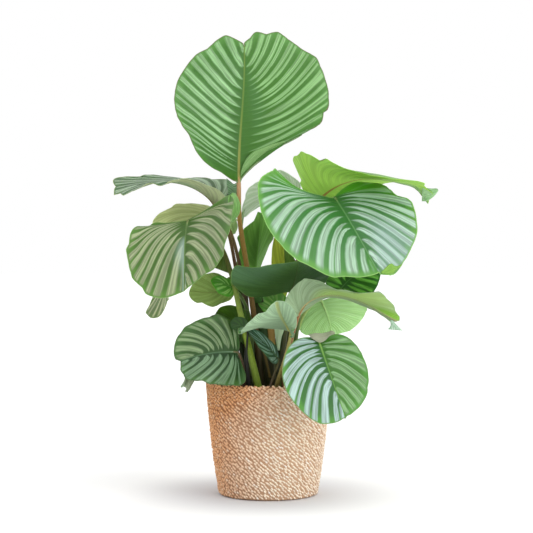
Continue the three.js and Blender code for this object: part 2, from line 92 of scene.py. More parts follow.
# Each leaf in millimetres and degrees, as in the solids: where the blade meets its stalk, how the midrib
# runs and rolls from base to tip, its two halves and how deep they wave, and the stalk's root, way up and
# radius at top and bottom.
LEAVES = {
    "top": dict(
        base=(-47, 5, 496), azimuth=(125, 112), pitch=(84, 100, 84), roll=(2, 0), length=219,
        left=half(116, lobe=-0.08, notch=0.07, skew=0, round=0.94, fold=(10, -7), curl=(20, -10)),
        right=half(137, lobe=-0.17, notch=0.14, skew=-0.23, round=1.28, fold=(26, 12), curl=(10, -10)),
        wave=3, root=(-10, -4), via=((-20, -3, 260), (-34, 0, 360), (-46, 2, 440)), radius=(3.4, 5),
    ),
    "far_left": dict(
        base=(-81, 18, 453), azimuth=(177, 180, 207), pitch=(61, 4, -26), roll=(9, 11, 33), length=189,
        left=half(56, lobe=0, notch=-0.04, skew=0.18, round=0.6, fold=(57, 11, 19), curl=(-18, 0)),
        right=half(69, skew=0.17, round=0.73, fold=(53, 3, 18), curl=(-8, -3)), wave=3, root=(-22, 12),
        via=((-37, 6, 309), (-47, 6, 368), (-61, 10, 418)),
    ),
    "big_left": dict(
        base=(-126, -38, 435), azimuth=(-98, -102), pitch=(-30, -85, -80), roll=(-14, -8), length=120,
        left=half(87, lobe=0.1, notch=-0.06, skew=0.53, round=0.93, fold=(8, 15), curl=(23, 8)),
        right=half(93, lobe=0.09, notch=0.11, skew=0, round=0.7, fold=(0, 12), curl=(20, 3)), wave=3,
        root=(-13, -40),
        via=((-18, -40, 182), (-43, -38, 286), (-58, -34, 350), (-76, -30, 396), (-104, -32, 424)),
        radius=(2.6, 6),
    ),
    "left_behind": dict(
        base=(-76, 34, 447), azimuth=(131, 208), pitch=(10, -65, -71), roll=(-15, 0), length=226,
        left=half(96, lobe=0.11, notch=-0.11, skew=0.07, round=0.81, fold=(9, 0), curl=(-26, 18)),
        right=half(76, notch=0.04, skew=0, round=0.8, fold=(3, 13)), wave=3, root=(-36, 6),
        via=((-44, 18, 300), (-54, 20, 368), (-64, 26, 415)),
    ),
    "small_back": dict(
        base=(49, 70, 479), azimuth=(179, 198), pitch=(19, -19, -44), roll=(-53, -37), length=103,
        left=half(39, notch=-0.03, fold=(13, 8)), right=half(31, fold=(11, 7)), wave=3, root=(2, 40),
        via=((20, 52, 276), (30, 62, 373)),
    ),
    "upper_right": dict(
        base=(80, 45, 466), azimuth=(-53, -15, 17), pitch=(40, 0, -47), roll=(49, 0, -2), length=213,
        left=half(55, lobe=0.24, notch=-0.07, skew=0.29, fold=(-6, -12, 24)),
        right=half(85, lobe=0.06, skew=0.14, round=0.73, fold=(24, 6, 22), curl=(34, -2, -6)), wave=3,
        root=(24, 14), via=((44, 28, 324), (53, 40, 405)),
    ),
    "big_right": dict(
        base=(105, -25, 471), azimuth=(-69, -58), pitch=(-32, -42, -47), roll=(-15, -20), length=179,
        left=half(97, lobe=0.18, notch=0.04, skew=0, round=1, fold=(14, 11), curl=(-21, 7)),
        right=half(161, lobe=0.1, notch=0.03, skew=0.25, round=1.08, fold=(16, 7), curl=(59, -19)), wave=3,
        root=(30, -6), via=((40, 6, 290), (62, 6, 345), (90, -2, 404)), radius=(3, 4.6),
    ),
    "middle": dict(
        base=(35, -12, 323), azimuth=(-78, -93), pitch=(24, 25, 6), roll=(-10, -7), length=130,
        left=half(55, skew=0.13, fold=(-6, -8)),
        right=half(103, notch=-0.07, skew=-0.04, round=0.71, fold=(-4, -4), curl=(16, 25)), wave=4,
        root=(12, -16), via=((26, -13, 245),),
    ),
    "narrow_back": dict(
        base=(-22, 46, 336), azimuth=(-68, -78), pitch=(88, 66, 91), roll=(-19, 9), length=119,
        left=half(38, lobe=-0.03, notch=-0.04, fold=(47, 25)),
        right=half(35, lobe=0, notch=-0.1, skew=0.13, fold=(25, 22)), wave=2, root=(-6, 26),
        via=((-14, 38, 270),),
    ),
    "rolled_young": dict(
        base=(23, 50, 308), azimuth=(-86, -75), pitch=(84, 84, 79), roll=(2, -7), length=122,
        left=half(13, lobe=0, fold=(20, 22)), right=half(19, lobe=0, skew=0, fold=(22, 21)), wave=1,
        root=(12, 26), via=((19, 38, 245),),
    ),
    "under_right": dict(
        base=(115, -15, 326), azimuth=(2, 4), pitch=(55, 27, 3), roll=(-61, -66), length=80,
        left=half(36, lobe=0.18, skew=0.13, fold=(11, 10)),
        right=half(42, lobe=0.08, notch=-0.07, fold=(2, -2)), wave=2, root=(36, -30),
        via=((46, -36, 266), (52, -42, 296), (66, -40, 314), (92, -28, 325)), radius=(2, 3.8),
    ),
    "arching_right": dict(
        base=(47, -62, 287), azimuth=(39, -11, 6), pitch=(65, -13, -29), roll=(56, 14, 61), length=177,
        left=half(16, lobe=0.02, notch=-0.04, skew=0.14, round=0.9, fold=(-10, -5, 9)),
        right=half(67, notch=-0.03, skew=0.42, round=0.9, fold=(21, 0, 41), curl=(-12, 5)), wave=2,
        root=(24, -38), via=((26, -40, 208), (35, -44, 244)),
    ),
    "lower_right_back": dict(
        base=(85, -2, 308), azimuth=(53, 80), pitch=(-54, -51, -60), roll=(9, 21), length=79,
        left=half(49, lobe=0.07, skew=-0.09, fold=(-3, -9)),
        right=half(66, lobe=0.11, notch=-0.07, skew=0.11, fold=(7, 7)), wave=2, root=(20, -24),
        via=((32, -24, 229), (46, -24, 261), (56, -24, 286), (70, -22, 303)), radius=(2, 3.8),
    ),
    "left_pointing": dict(
        base=(35, -72, 263), azimuth=(-111, -107), pitch=(36, 28, 57), roll=(20, -26), length=86,
        left=half(39, lobe=0.1, notch=0.03, skew=0, round=0.79, fold=(-50, -36)),
        right=half(86, notch=0.04, skew=0.21, round=0.76, fold=(-13, -25), curl=(-6, 0)), wave=2,
        root=(8, -38), via=((23, -60, 209), (31, -71, 240)),
    ),
    "lower_left": dict(
        base=(-48, -62, 229), azimuth=(-162, -176), pitch=(5, -8, -21), roll=(64, 65), length=91,
        left=half(57, lobe=0.14, notch=0.05, skew=0.26, round=0.5, fold=(7, 11), curl=(11, 5)),
        right=half(58, lobe=0, notch=0.02, skew=0.17, round=0.56, fold=(6, 10), curl=(-16, 4)), wave=2,
        root=(-38, -46), via=((-40, -52, 205),),
    ),
    "lower_right": dict(
        base=(75, -105, 253), azimuth=(-62, -54), pitch=(-55, -57, -60), roll=(-6, -7), length=137,
        left=half(67, lobe=0.08, notch=-0.05, skew=0.19, round=0.71, fold=(8, 4), curl=(-29, -10)),
        right=half(81, lobe=0.06, notch=0.07, skew=-0.13, round=0.93, fold=(9, 3), curl=(-2, -13)), wave=2,
        root=(32, -44), via=((40, -58, 190), (58, -86, 235)), radius=(2.8, 4.2),
    ),
    "folded_young": dict(
        base=(16, -38, 216), azimuth=(196, 191), pitch=(54, 44, 37), roll=(60, 51), length=68,
        left=half(23, lobe=0.07, skew=0.14, round=0.8, fold=(15, 24)),
        right=half(11, lobe=-0.05, fold=(18, 20)), wave=1, root=(-2, -52), via=((8, -46, 190),),
        radius=(1.8, 3),
    ),
    "behind_lower_left": dict(
        base=(-36, -8, 253), azimuth=(156, 182), pitch=(36, 5, 4), roll=(-65, -37), length=77,
        left=half(46, skew=0.17, round=0.9, fold=(3, -14)), right=half(40, lobe=0.1), wave=2, root=(-34, -20),
        via=((-36, -14, 213),), radius=(2, 3.4),
    ),
    "under_left": dict(
        base=(-54, -5, 325), azimuth=(188, 195), pitch=(-6, -3, 13), roll=(-74, -79), length=73,
        left=half(34, skew=0.16, round=0.9), right=half(22, lobe=0, skew=0.04), wave=2, root=(-30, -2),
        via=((-30, -2, 250), (-32, -2, 285), (-42, -3, 312)),
    ),
    "small_under_left": dict(
        base=(-54, -22, 328), azimuth=(194, 184), pitch=(15, 24, -19), roll=(69, 66), length=39,
        left=half(19, skew=0.18), right=half(11, lobe=0), wave=1, root=(-22, -14),
        via=((-26, -12, 250), (-30, -12, 285), (-42, -18, 312)), radius=(1.8, 3.2),
    ),
    "hanging_lower_left": dict(
        base=(-51, -14, 239), azimuth=(182, 204), pitch=(20, -45, -60), roll=(-54, -22), length=122,
        left=half(36, fold=(-2, -12)), right=half(36, fold=(2, 11)), wave=2, root=(-42, -30),
        via=((-48, -20, 205),), radius=(2, 3.4),
    ),
    "small_dark": dict(
        base=(-34, -50, 266), azimuth=(179, 176), pitch=(23, 12, -5), roll=(82, 78), length=26,
        left=half(9, lobe=0), right=half(14, lobe=0), wave=0.5, root=(-28, -50), via=((-34, -50, 225),),
        radius=(1.5, 2.6),
    ),
    "small_middle": dict(
        base=(21, 5, 280), azimuth=(125, 119), pitch=(59, 47, 35), roll=(0, 16), length=57,
        left=half(29, fold=(0, -6)), right=half(24, fold=(0, 7)), wave=1, root=(4, 6), via=((12, 4, 230),),
        radius=(1.8, 3),
    ),
}


def look(dark, light, under, **more):
    """A leaf's colours: upper side's dark and light bands and the underside, with what differs from usual."""
    usual = dict(
        dark=dark,
        light=light,
        under=under,
        under_dark=tuple(0.8 * c for c in under),
        rib=(125, 165, 95),
        rib_width=(3.6, 1.2),
        under_rib=tuple(1.05 * c for c in under),
        margin=tuple(1.2 * c for c in dark),
        under_margin=under,
        margin_width=0.9,
        edge=tuple(1.1 * c for c in dark),
        bands=13,
        ends=((0.06, 0.3), (0.06, 0.3)),
        fade=(4, 4),
        patches=(),
        under_patches=(),
    )
    return {**usual, "right_dark": dark, "right_light": light, **more}


# Colours as seen on screen. A patch is (across -1 to 1, vein 0 to 1, reach across, reach along, colour,
# amount).
# ends: for each half, the shares across where the light bands start and where they are full; fade: how far
# from each half's margin, in millimetres, they fade out.
LOOKS = {
    "top": look(
        (54, 116, 30), (146, 192, 134), (150, 178, 130), right_dark=(62, 122, 34),
        right_light=(140, 188, 122), rib=(150, 152, 68), rib_width=(6.5, 2), margin=(118, 112, 80),
        ends=((0.03, 0.28), (0.12, 0.45)), edge=(80, 140, 56),
        # The second patch, bluish beside the midrib of the right half, is a painted sheen.
        patches=((-0.3, 0.1, 0.9, 0.2, (52, 108, 8), 0.85), (0.2, 0.75, 0.16, 0.3, (74, 124, 76), 0.25)),
    ),
    "far_left": look(
        (74, 108, 72), (172, 194, 168), (214, 224, 178), under_rib=(150, 130, 80), margin=(150, 165, 110),
        under_patches=((0.0, 0.75, 1.6, 0.3, (150, 185, 140), 0.7), (0, 1, 2, 0.14, (110, 140, 60), 0.8)),
    ),
    "big_left": look(
        (72, 112, 44), (168, 180, 138), (150, 175, 130), rib=(146, 174, 108), rib_width=(5, 2),
        margin=(140, 180, 100), ends=((0.03, 0.35), (0.1, 0.4)), fade=(3, 5), edge=(92, 140, 56),
        # This pale bluish patch at the tip is a painted highlight.
        patches=((0.1, 0.98, 0.7, 0.1, (196, 220, 214), 0.5),),
    ),
    "left_behind": look(
        (84, 112, 52), (176, 182, 140), (228, 237, 176), under_dark=(172, 188, 110), margin=(120, 145, 70),
        under_patches=((0, 0.85, 2, 0.2, (150, 160, 110), 0.6),),
    ),
    "small_back": look(
        (90, 140, 80), (175, 205, 165), (242, 255, 238), under_dark=(190, 222, 178), bands=8,
        rib_width=(2.5, 1),
    ),
    "upper_right": look(
        (95, 150, 60), (150, 195, 110), (190, 244, 105), under_dark=(157, 214, 81), under_rib=(168, 118, 62),
        margin=(150, 170, 80), rib_width=(5, 1.8), under_patches=((0, 1, 1.5, 0.16, (120, 165, 140), 0.7),),
    ),
    "big_right": look(
        (68, 132, 72), (186, 214, 198), (140, 180, 120), right_dark=(62, 130, 64),
        right_light=(172, 204, 178), rib=(136, 176, 116), rib_width=(4.5, 2.0), margin=(150, 206, 104),
        margin_width=1.3, ends=((0.05, 0.35), (0.08, 0.4)), fade=(4, 14), edge=(98, 164, 66),
        patches=(
            (-0.6, 0.2, 0.6, 0.3, (98, 186, 44), 0.85), (0.75, 0.2, 0.5, 0.24, (90, 172, 36), 0.6),
            # The pale bluish patch near the tip of the left half is a painted highlight.
            (-0.8, 0.85, 0.5, 0.2, (190, 216, 222), 0.35), (0.5, 1, 0.8, 0.07, (66, 142, 34), 0.9),
        ),
    ),
    "middle": look(
        (50, 90, 48), (90, 130, 90), (84, 126, 62), under_dark=(66, 108, 52), under_rib=(96, 108, 54),
        margin=(130, 170, 90), under_margin=(124, 164, 90),
        under_patches=(
            (-0.7, 0.5, 0.9, 0.8, (90, 128, 90), 0.8), (0.9, 0.75, 0.7, 0.4, (104, 144, 112), 0.6),
        ),
    ),
    "narrow_back": look(
        (70, 104, 56), (90, 124, 72), (134, 196, 90), under_dark=(98, 156, 60), bands=7,
        under_patches=((0.2, 0.9, 0.7, 0.5, (40, 96, 10), 0.6),),
    ),
    "rolled_young": look((130, 140, 40), (160, 165, 70), (234, 246, 90), bands=6, rib_width=(2, 1)),
    "under_right": look(
        (20, 92, 16), (110, 185, 70), (90, 140, 70), rib=(80, 130, 60), bands=6, rib_width=(2.5, 1),
    ),
    "arching_right": look(
        (90, 140, 70), (160, 190, 150), (178, 204, 164), under_dark=(136, 162, 122),
        under_rib=(214, 190, 130), margin=(120, 150, 90), bands=12, rib_width=(5.5, 1.8),
        under_patches=(
            (0.3, 0.75, 1.4, 0.35, (188, 226, 118), 0.85), (0.8, 0.98, 0.8, 0.1, (140, 196, 60), 0.9),
        ),
    ),
    "lower_right_back": look(
        (100, 160, 80), (160, 205, 140), (197, 246, 170), under_dark=(170, 228, 134),
        under_rib=(200, 236, 160), bands=7,
    ),
    "left_pointing": look(
        (90, 140, 80), (160, 195, 160), (196, 226, 190), under_dark=(146, 180, 142),
        under_rib=(232, 230, 140), margin=(170, 190, 140), bands=12, rib_width=(11, 7),
    ),
    "lower_left": look(
        (20, 66, 24), (124, 158, 120), (140, 165, 120), right_dark=(42, 84, 30), right_light=(136, 162, 116),
        rib=(128, 160, 120), rib_width=(4, 2), margin=(80, 104, 60), ends=((0.06, 0.28), (0.08, 0.25)),
        fade=(3, 5), edge=(66, 110, 50),
    ),
    "lower_right": look(
        (56, 122, 30), (132, 176, 120), (170, 178, 150), right_dark=(38, 106, 42),
        right_light=(176, 204, 200), rib=(134, 180, 84), margin=(112, 150, 84), rib_width=(4.4, 1.6),
        ends=((0.04, 0.16), (0.04, 0.2)), fade=(6, 2.5), edge=(78, 150, 50),
        patches=((-0.3, 0.08, 0.7, 0.1, (50, 130, 10), 0.8),),
    ),
    "folded_young": look((30, 84, 58), (156, 200, 176), (110, 140, 100), bands=6, rib_width=(2, 1)),
    "behind_lower_left": look((70, 120, 50), (110, 150, 80), (66, 106, 16), under_dark=(48, 82, 12), bands=6),
    "under_left": look(
        (90, 130, 60), (140, 160, 100), (168, 196, 113), under_dark=(132, 160, 76), under_rib=(160, 160, 100),
        bands=6,
    ),
    "small_under_left": look((70, 152, 26), (150, 206, 104), (110, 170, 60), bands=4, rib_width=(2, 1)),
    "hanging_lower_left": look((110, 150, 100), (165, 185, 150), (160, 182, 146), under_dark=(130, 156, 112)),
    "small_dark": look((26, 70, 8), (52, 100, 20), (40, 76, 16), bands=4, rib_width=(1.6, 0.8)),
    "small_middle": look((80, 150, 50), (130, 180, 90), (120, 165, 80), bands=5, rib_width=(2, 1)),
}


def veined(early, late, sweep):
    """How the veins of one half leave the midrib, early and late along it, and how they sweep to the tip."""
    return dict(early=early, late=late, sweep=sweep)


# The veins of the left and the right half, where they show plainly.
VEINS = {
    "top": (veined(1.47, 1.28, 1.43), veined(1.25, 1.39, 1.74)),
    "big_left": (veined(3.7, 0.8, 1.73), veined(2.0, 5.2, 1.76)),
    "big_right": (veined(5.4, 0.95, 1.79), veined(4.6, 1.18, 1.88)),
    "lower_left": (veined(2.6, 1.94, 2.1), veined(1.34, 2.72, 2.07)),
    "lower_right": (veined(1.14, 2.53, 1.74), veined(1.58, 2.35, 1.97)),
}

# The dark bands of the left and the right half from base to tip, where they show plainly: the vein that each
# follows near the midrib and near the margin, and its width, in thousandths of the blade's length.
DARK_BANDS = {
    "top": (
        (
            (260, 300, 30), (310, 345, 30), (335, 390, 14), (372, 433, 30), (433, 470, 18), (491, 521, 30),
            (548, 557, 20), (601, 607, 26), (658, 651, 18), (708, 702, 25), (758, 745, 17), (806, 795, 25),
            (856, 852, 22), (906, 903, 28), (966, 963, 25),
        ),
        (
            (360, 420, 40), (433, 494, 30), (500, 530, 18), (568, 587, 26), (617, 628, 17), (667, 680, 20),
            (690, 701, 6), (723, 727, 18), (748, 744, 6), (780, 773, 20), (804, 793, 5), (829, 819, 17),
            (852, 840, 6), (883, 868, 21), (912, 897, 9), (950, 934, 24),
        ),
    ),
    "big_left": (
        (
            (60, 347, 30), (200, 398, 18), (405, 451, 36), (505, 506, 15), (600, 569, 31), (675, 630, 17),
            (745, 706, 37), (830, 790, 34), (876, 880, 30), (935, 950, 20),
        ),
        (
            (50, 368, 45), (130, 449, 30), (270, 529, 42), (420, 607, 20), (545, 677, 34), (655, 739, 19),
            (768, 793, 34), (857, 854, 22), (929, 923, 30), (983, 982, 14),
        ),
    ),
    "big_right": (
        (
            (300, 300, 100), (430, 440, 50), (575, 545, 26), (635, 606, 22), (688, 687, 32), (744, 742, 14),
            (798, 791, 24), (841, 836, 15), (887, 880, 20), (926, 928, 13), (978, 978, 20),
        ),
        (
            (120, 260, 30), (200, 327, 30), (300, 375, 40), (350, 410, 12), (390, 443, 18), (440, 486, 14),
            (490, 526, 25), (560, 583, 17), (640, 631, 29), (703, 686, 18), (752, 729, 26), (809, 783, 22),
            (841, 814, 5), (870, 848, 24), (924, 914, 21), (961, 961, 14),
        ),
    ),
    "lower_left": (
        (
            (300, 340, 70), (420, 450, 35), (570, 585, 40), (700, 668, 42), (818, 770, 38), (870, 842, 10),
            (933, 916, 30), (983, 977, 14),
        ),
        (
            (200, 220, 60), (356, 389, 55), (585, 539, 60), (675, 625, 20), (750, 703, 56), (838, 796, 23),
            (895, 872, 50), (967, 963, 24),
        ),
    ),
    "lower_right": (
        (
            (160, 130, 100), (260, 280, 40), (385, 405, 50), (546, 551, 56), (620, 630, 8), (740, 726, 56),
            (824, 790, 9), (890, 868, 44), (963, 954, 25),
        ),
        (
            (150, 100, 60), (300, 322, 48), (428, 456, 56), (535, 532, 6), (590, 583, 30), (679, 664, 16),
            (730, 715, 46), (803, 785, 20), (858, 842, 26), (930, 919, 34), (979, 970, 12),
        ),
    ),
}

# How far the real margin lies outside the plain outline, for the left and the right half from base to tip, as
# (vein in hundredths, millimetres).
MARGINS = {
    "top": (
        (
            (10, 1), (14, 5), (20, 7), (25, 4), (30, -1), (34, -2.5), (38, 2), (44, 5), (50, 3.5), (58, 1),
            (68, -1.5), (76, -2), (82, -6), (86, -3), (90, 2.5), (92.5, 7.5), (95, 5), (97, 3.5), (100, 3),
        ),
        (
            (10, 0), (20, -1), (28, 0), (32, -3), (34, -1), (37, 8.5), (41, 10.5), (44, 6), (46, 2),
            (47.5, 6.5), (50, 5.5), (54, 1), (62, -2), (68, -1), (71, 4), (76, -1.5), (82, -1), (86, 3),
            (90, -5), (94, 2.5), (97, -2), (98, 0), (100, 3),
        ),
    ),
    "far_left": (
        ((50, 0), (56, -10), (64, -18), (70, -19), (78, -12), (86, -10), (92, 2), (96, -3), (100, -12)),
        (
            (10, 2), (16, 0), (20, -3), (25, -1), (29, 4), (31, 2), (35, -13), (39, -5), (42, 0), (50, -1),
            (54, -8), (60, -6), (66, -15), (70, -10), (74, -4), (77, -1), (80, 0), (84, -4), (88, -8),
            (92, -11), (100, -22),
        ),
    ),
    "big_left": (
        ((44, 4), (48, 0), (51, -3.5), (56, 2), (66, 3), (72, 0)),
        (
            (10, 0), (16, 8), (21, 7), (27, 9), (31, 3), (36, 1.5), (42, 0), (46, -1), (50, 2), (54, 0.5),
            (58, -0.5), (66, -1), (69, 1.2), (78, -1), (82, 2.7), (86, 1.7), (97, 2), (100, 1),
        ),
    ),
    "small_back": (
        ((30, -1), (39, 4), (44, -2), (56, -1), (60, 3), (66, 3), (72, -1), (80, -4), (90, 0)),
        ((50, 0), (60, -11), (66, -14), (69, 4), (76, 6), (86, 5), (100, 8)),
    ),
    "upper_right": (
        ((60, 0), (64, -3), (68, 6), (72, 0), (76, -4), (80, -5), (86, -8), (92, -6), (100, -6)),
        (
            (20, 5), (23.5, 10), (28, 3), (31, -2), (33.5, 0), (35.5, 5), (36.5, -1), (38.5, -2), (40, -7),
            (41.3, -12), (42.5, -3), (43.7, 9), (45, -2), (48, -4), (53, -1), (56, 4), (60, 5), (70, 4),
            (73.5, 10), (75.5, -2), (77, -4), (84, -4), (90, -7), (100, -9),
        ),
    ),
    "big_right": (
        (
            (20, 2), (28, 8), (31, 4), (36, -6), (41, -8), (44, -6), (46.5, 2), (50, 5.5), (56, 4), (62, 2),
            (72, 1), (81, 0), (86, 0.5), (90, 5), (94, 10), (97, 6), (100, 3),
        ),
        (
            (16, -3), (22, 11), (26, 0), (30, -2), (34, 0), (37, 5), (40, 10), (46, 5), (52, 0), (60, -3),
            (68, 1), (73, -2), (77, 0), (81, 3), (85, -1), (90, 1),
        ),
    ),
    "narrow_back": (
        ((25, 1), (36, 4), (42, 7), (48, 5), (55, 0)),
        ((32, 0), (36, -3), (42, -4), (50, -5), (58, 3), (64, 0), (90, 0), (100, 5)),
    ),
    "arching_right": (
        ((68, 0), (80, -4), (86, -2), (92, 3), (100, 0)),
        (
            (18, 3), (24, 1), (28.5, 0), (30, 5), (31.5, 0), (35, -3), (40, -5), (44, -4), (50, -12),
            (55, -20), (60, -24), (65, -16), (68.5, 0), (72, -2), (76, -5), (80, -3), (84, -1), (90, -1),
            (94, 3), (96, 6), (100, 5),
        ),
    ),
    "lower_right_back": (
        ((60, 0), (70, -3), (80, -8), (90, -9), (100, -8)),
        ((48, 0), (58, -1.8), (68, 0), (80, 2.5), (86, 5), (92, 0), (100, -4)),
    ),
    "left_pointing": (
        ((5, -8), (10, -14), (20, -21), (30, -25), (40, -24), (50, -16), (60, -6), (70, 0)),
        (
            (30, 0), (35, -6), (40, -11), (50, -17), (60, -13), (68, -2), (72, 0), (80, -3), (85, -4),
            (89, -9), (93, -11), (97, -4), (100, 0),
        ),
    ),
    "lower_left": (
        ((60, 3), (67, 0), (72, 3), (80, 6), (86, 3), (90, 0.7), (96, 3), (100, 1)),
        (
            (30, 4), (36, 5), (40, -1), (48, 1), (54, 0), (63, -1), (68, 0), (74, -1), (78, 0), (86, 0.5),
            (92, 2), (98, 6),
        ),
    ),
    "lower_right": (
        (
            (14, 0), (22, 2), (29, 4.5), (34, 1), (40, 0), (50, 1.7), (56, 2.8), (64, -0.7), (80, -1.7),
            (90, -1.5), (97, -1), (100, -3),
        ),
        ((85, 0), (90, -1.2), (100, -2)),
    ),
    "behind_lower_left": (
        ((24, 2), (30, 5), (38, 0), (53, 3), (60, -3), (65, -8), (70, -4), (78, -2), (100, -2)),
        ((0, 0), (100, 0)),
    ),
    "under_left": (
        ((20, 0), (26, -12), (34, -8), (42, -5), (50, -2), (60, 0)),
        ((34, 0), (38, -1.5), (44, 1), (50, 2), (64, -3), (70, 0)),
    ),
    "left_behind": (
        (
            (12, 4), (18, 0), (22, -7), (27, -7), (30, -5), (34, -14), (38, -9), (41, -1), (45, 8), (50, 2),
            (86, 9), (92, 0), (100, 1),
        ),
        ((12, 3), (20, 5), (26, 0), (72, -3), (76, -7), (80, -2), (84, 5), (88, 1), (100, 2)),
    ),
}

# Where a blade lies flatter than its outline in the solids: (x, height of its upper edge, share of its depth
# below that edge which is kept), in millimetres.
TUCKS = {
    "upper_right": (
        (195, 499, 1), (207, 497.5, 0.8), (222, 495.5, 0.5), (230, 494, 0.45), (238, 492, 0.6),
        (246, 490, 0.85), (252, 488, 1),
    ),
}

# A stalk's colours from the soil up, as (share of its length, colour).
STALK_COLOURS = {
    "top": (
        (0.2, (70, 62, 30)), (0.46, (128, 96, 40)), (0.62, (168, 128, 60)), (0.86, (176, 138, 72)),
        (0.93, (196, 152, 112)), (1, (150, 128, 40)),
    ),
    "far_left": ((0.3, (70, 66, 40)), (0.7, (110, 82, 52)), (1, (158, 140, 84))),
    "big_left": (
        (0.1, (136, 166, 56)), (0.35, (160, 190, 64)), (0.6, (90, 106, 34)), (0.85, (110, 92, 48)),
        (1, (130, 150, 90)),
    ),
    "left_behind": ((0.3, (78, 62, 44)), (0.7, (112, 76, 52)), (1, (130, 120, 70))),
    "small_back": ((0.4, (70, 84, 44)), (1, (120, 150, 96))),
    "upper_right": ((0.4, (80, 70, 40)), (1, (176, 124, 70))),
    "big_right": ((0.2, (66, 72, 36)), (0.6, (96, 110, 56)), (1, (120, 150, 90))),
    "middle": ((0.2, (54, 58, 30)), (1, (92, 100, 48))),
    "narrow_back": ((0.3, (60, 72, 40)), (1, (80, 110, 60))),
    "rolled_young": ((0.3, (84, 84, 40)), (1, (140, 146, 60))),
    "under_right": ((0.2, (70, 84, 40)), (1, (90, 130, 60))),
    "arching_right": (
        (0.1, (110, 84, 46)), (0.5, (150, 110, 66)), (0.85, (176, 120, 78)), (1, (160, 140, 80)),
    ),
    "lower_right_back": ((0.2, (110, 130, 60)), (0.7, (150, 176, 90)), (1, (160, 200, 120))),
    "left_pointing": ((0.1, (120, 110, 56)), (0.6, (176, 160, 92)), (1, (170, 172, 92))),
    "lower_left": ((0.2, (66, 40, 34)), (0.8, (96, 76, 50)), (1, (120, 140, 90))),
    "lower_right": ((0.1, (90, 100, 44)), (0.7, (120, 150, 66)), (1, (134, 176, 84))),
    "folded_young": ((0.3, (90, 60, 44)), (1, (100, 110, 60))),
    "behind_lower_left": ((0.3, (24, 20, 26)), (1, (60, 60, 44))),
    "under_left": ((0.2, (70, 84, 40)), (1, (110, 130, 66))),
    "small_under_left": ((0.2, (60, 76, 36)), (1, (96, 130, 56))),
    "hanging_lower_left": ((0.3, (22, 18, 26)), (1, (90, 100, 70))),
    "small_dark": ((0.3, (22, 18, 26)), (1, (50, 60, 40))),
    "small_middle": ((0.2, (90, 84, 44)), (1, (110, 140, 70))),
}


BLADE_SLOTS = {
    "leaf_pale_underside": ("far_left", "small_back", "arching_right", "left_pointing", "hanging_lower_left"),
    "leaf_olive": ("left_behind", "under_left"),
    "leaf_bright": ("upper_right", "rolled_young", "lower_right_back", "small_under_left", "small_middle"),
    "leaf_dark": ("middle", "under_right", "lower_left", "folded_young", "small_dark"),
}
STALK_SLOTS = {
    "stalk_tan": ("top",),
    "stalk_brown": ("far_left", "left_behind", "upper_right", "arching_right", "lower_left", "folded_young"),
    "stalk_dark": ("behind_lower_left", "hanging_lower_left", "small_dark"),
}


def slot_of(name, slots, usual):
    """The material slot of one leaf's blade or stalk."""
    return next((slot for slot, names in slots.items() if name in names), usual)


def sheet(slot, colour, deep, bulge, depths, one, other):
    """A fold, a sheath or a dark sheet of painted shade: slot, paler and deeper colour, bulge, and its two
    lines' depths and points.
    """
    return dict(slot=slot, colour=colour, deep=deep, bulge=bulge, depths=depths, one=one, other=other)
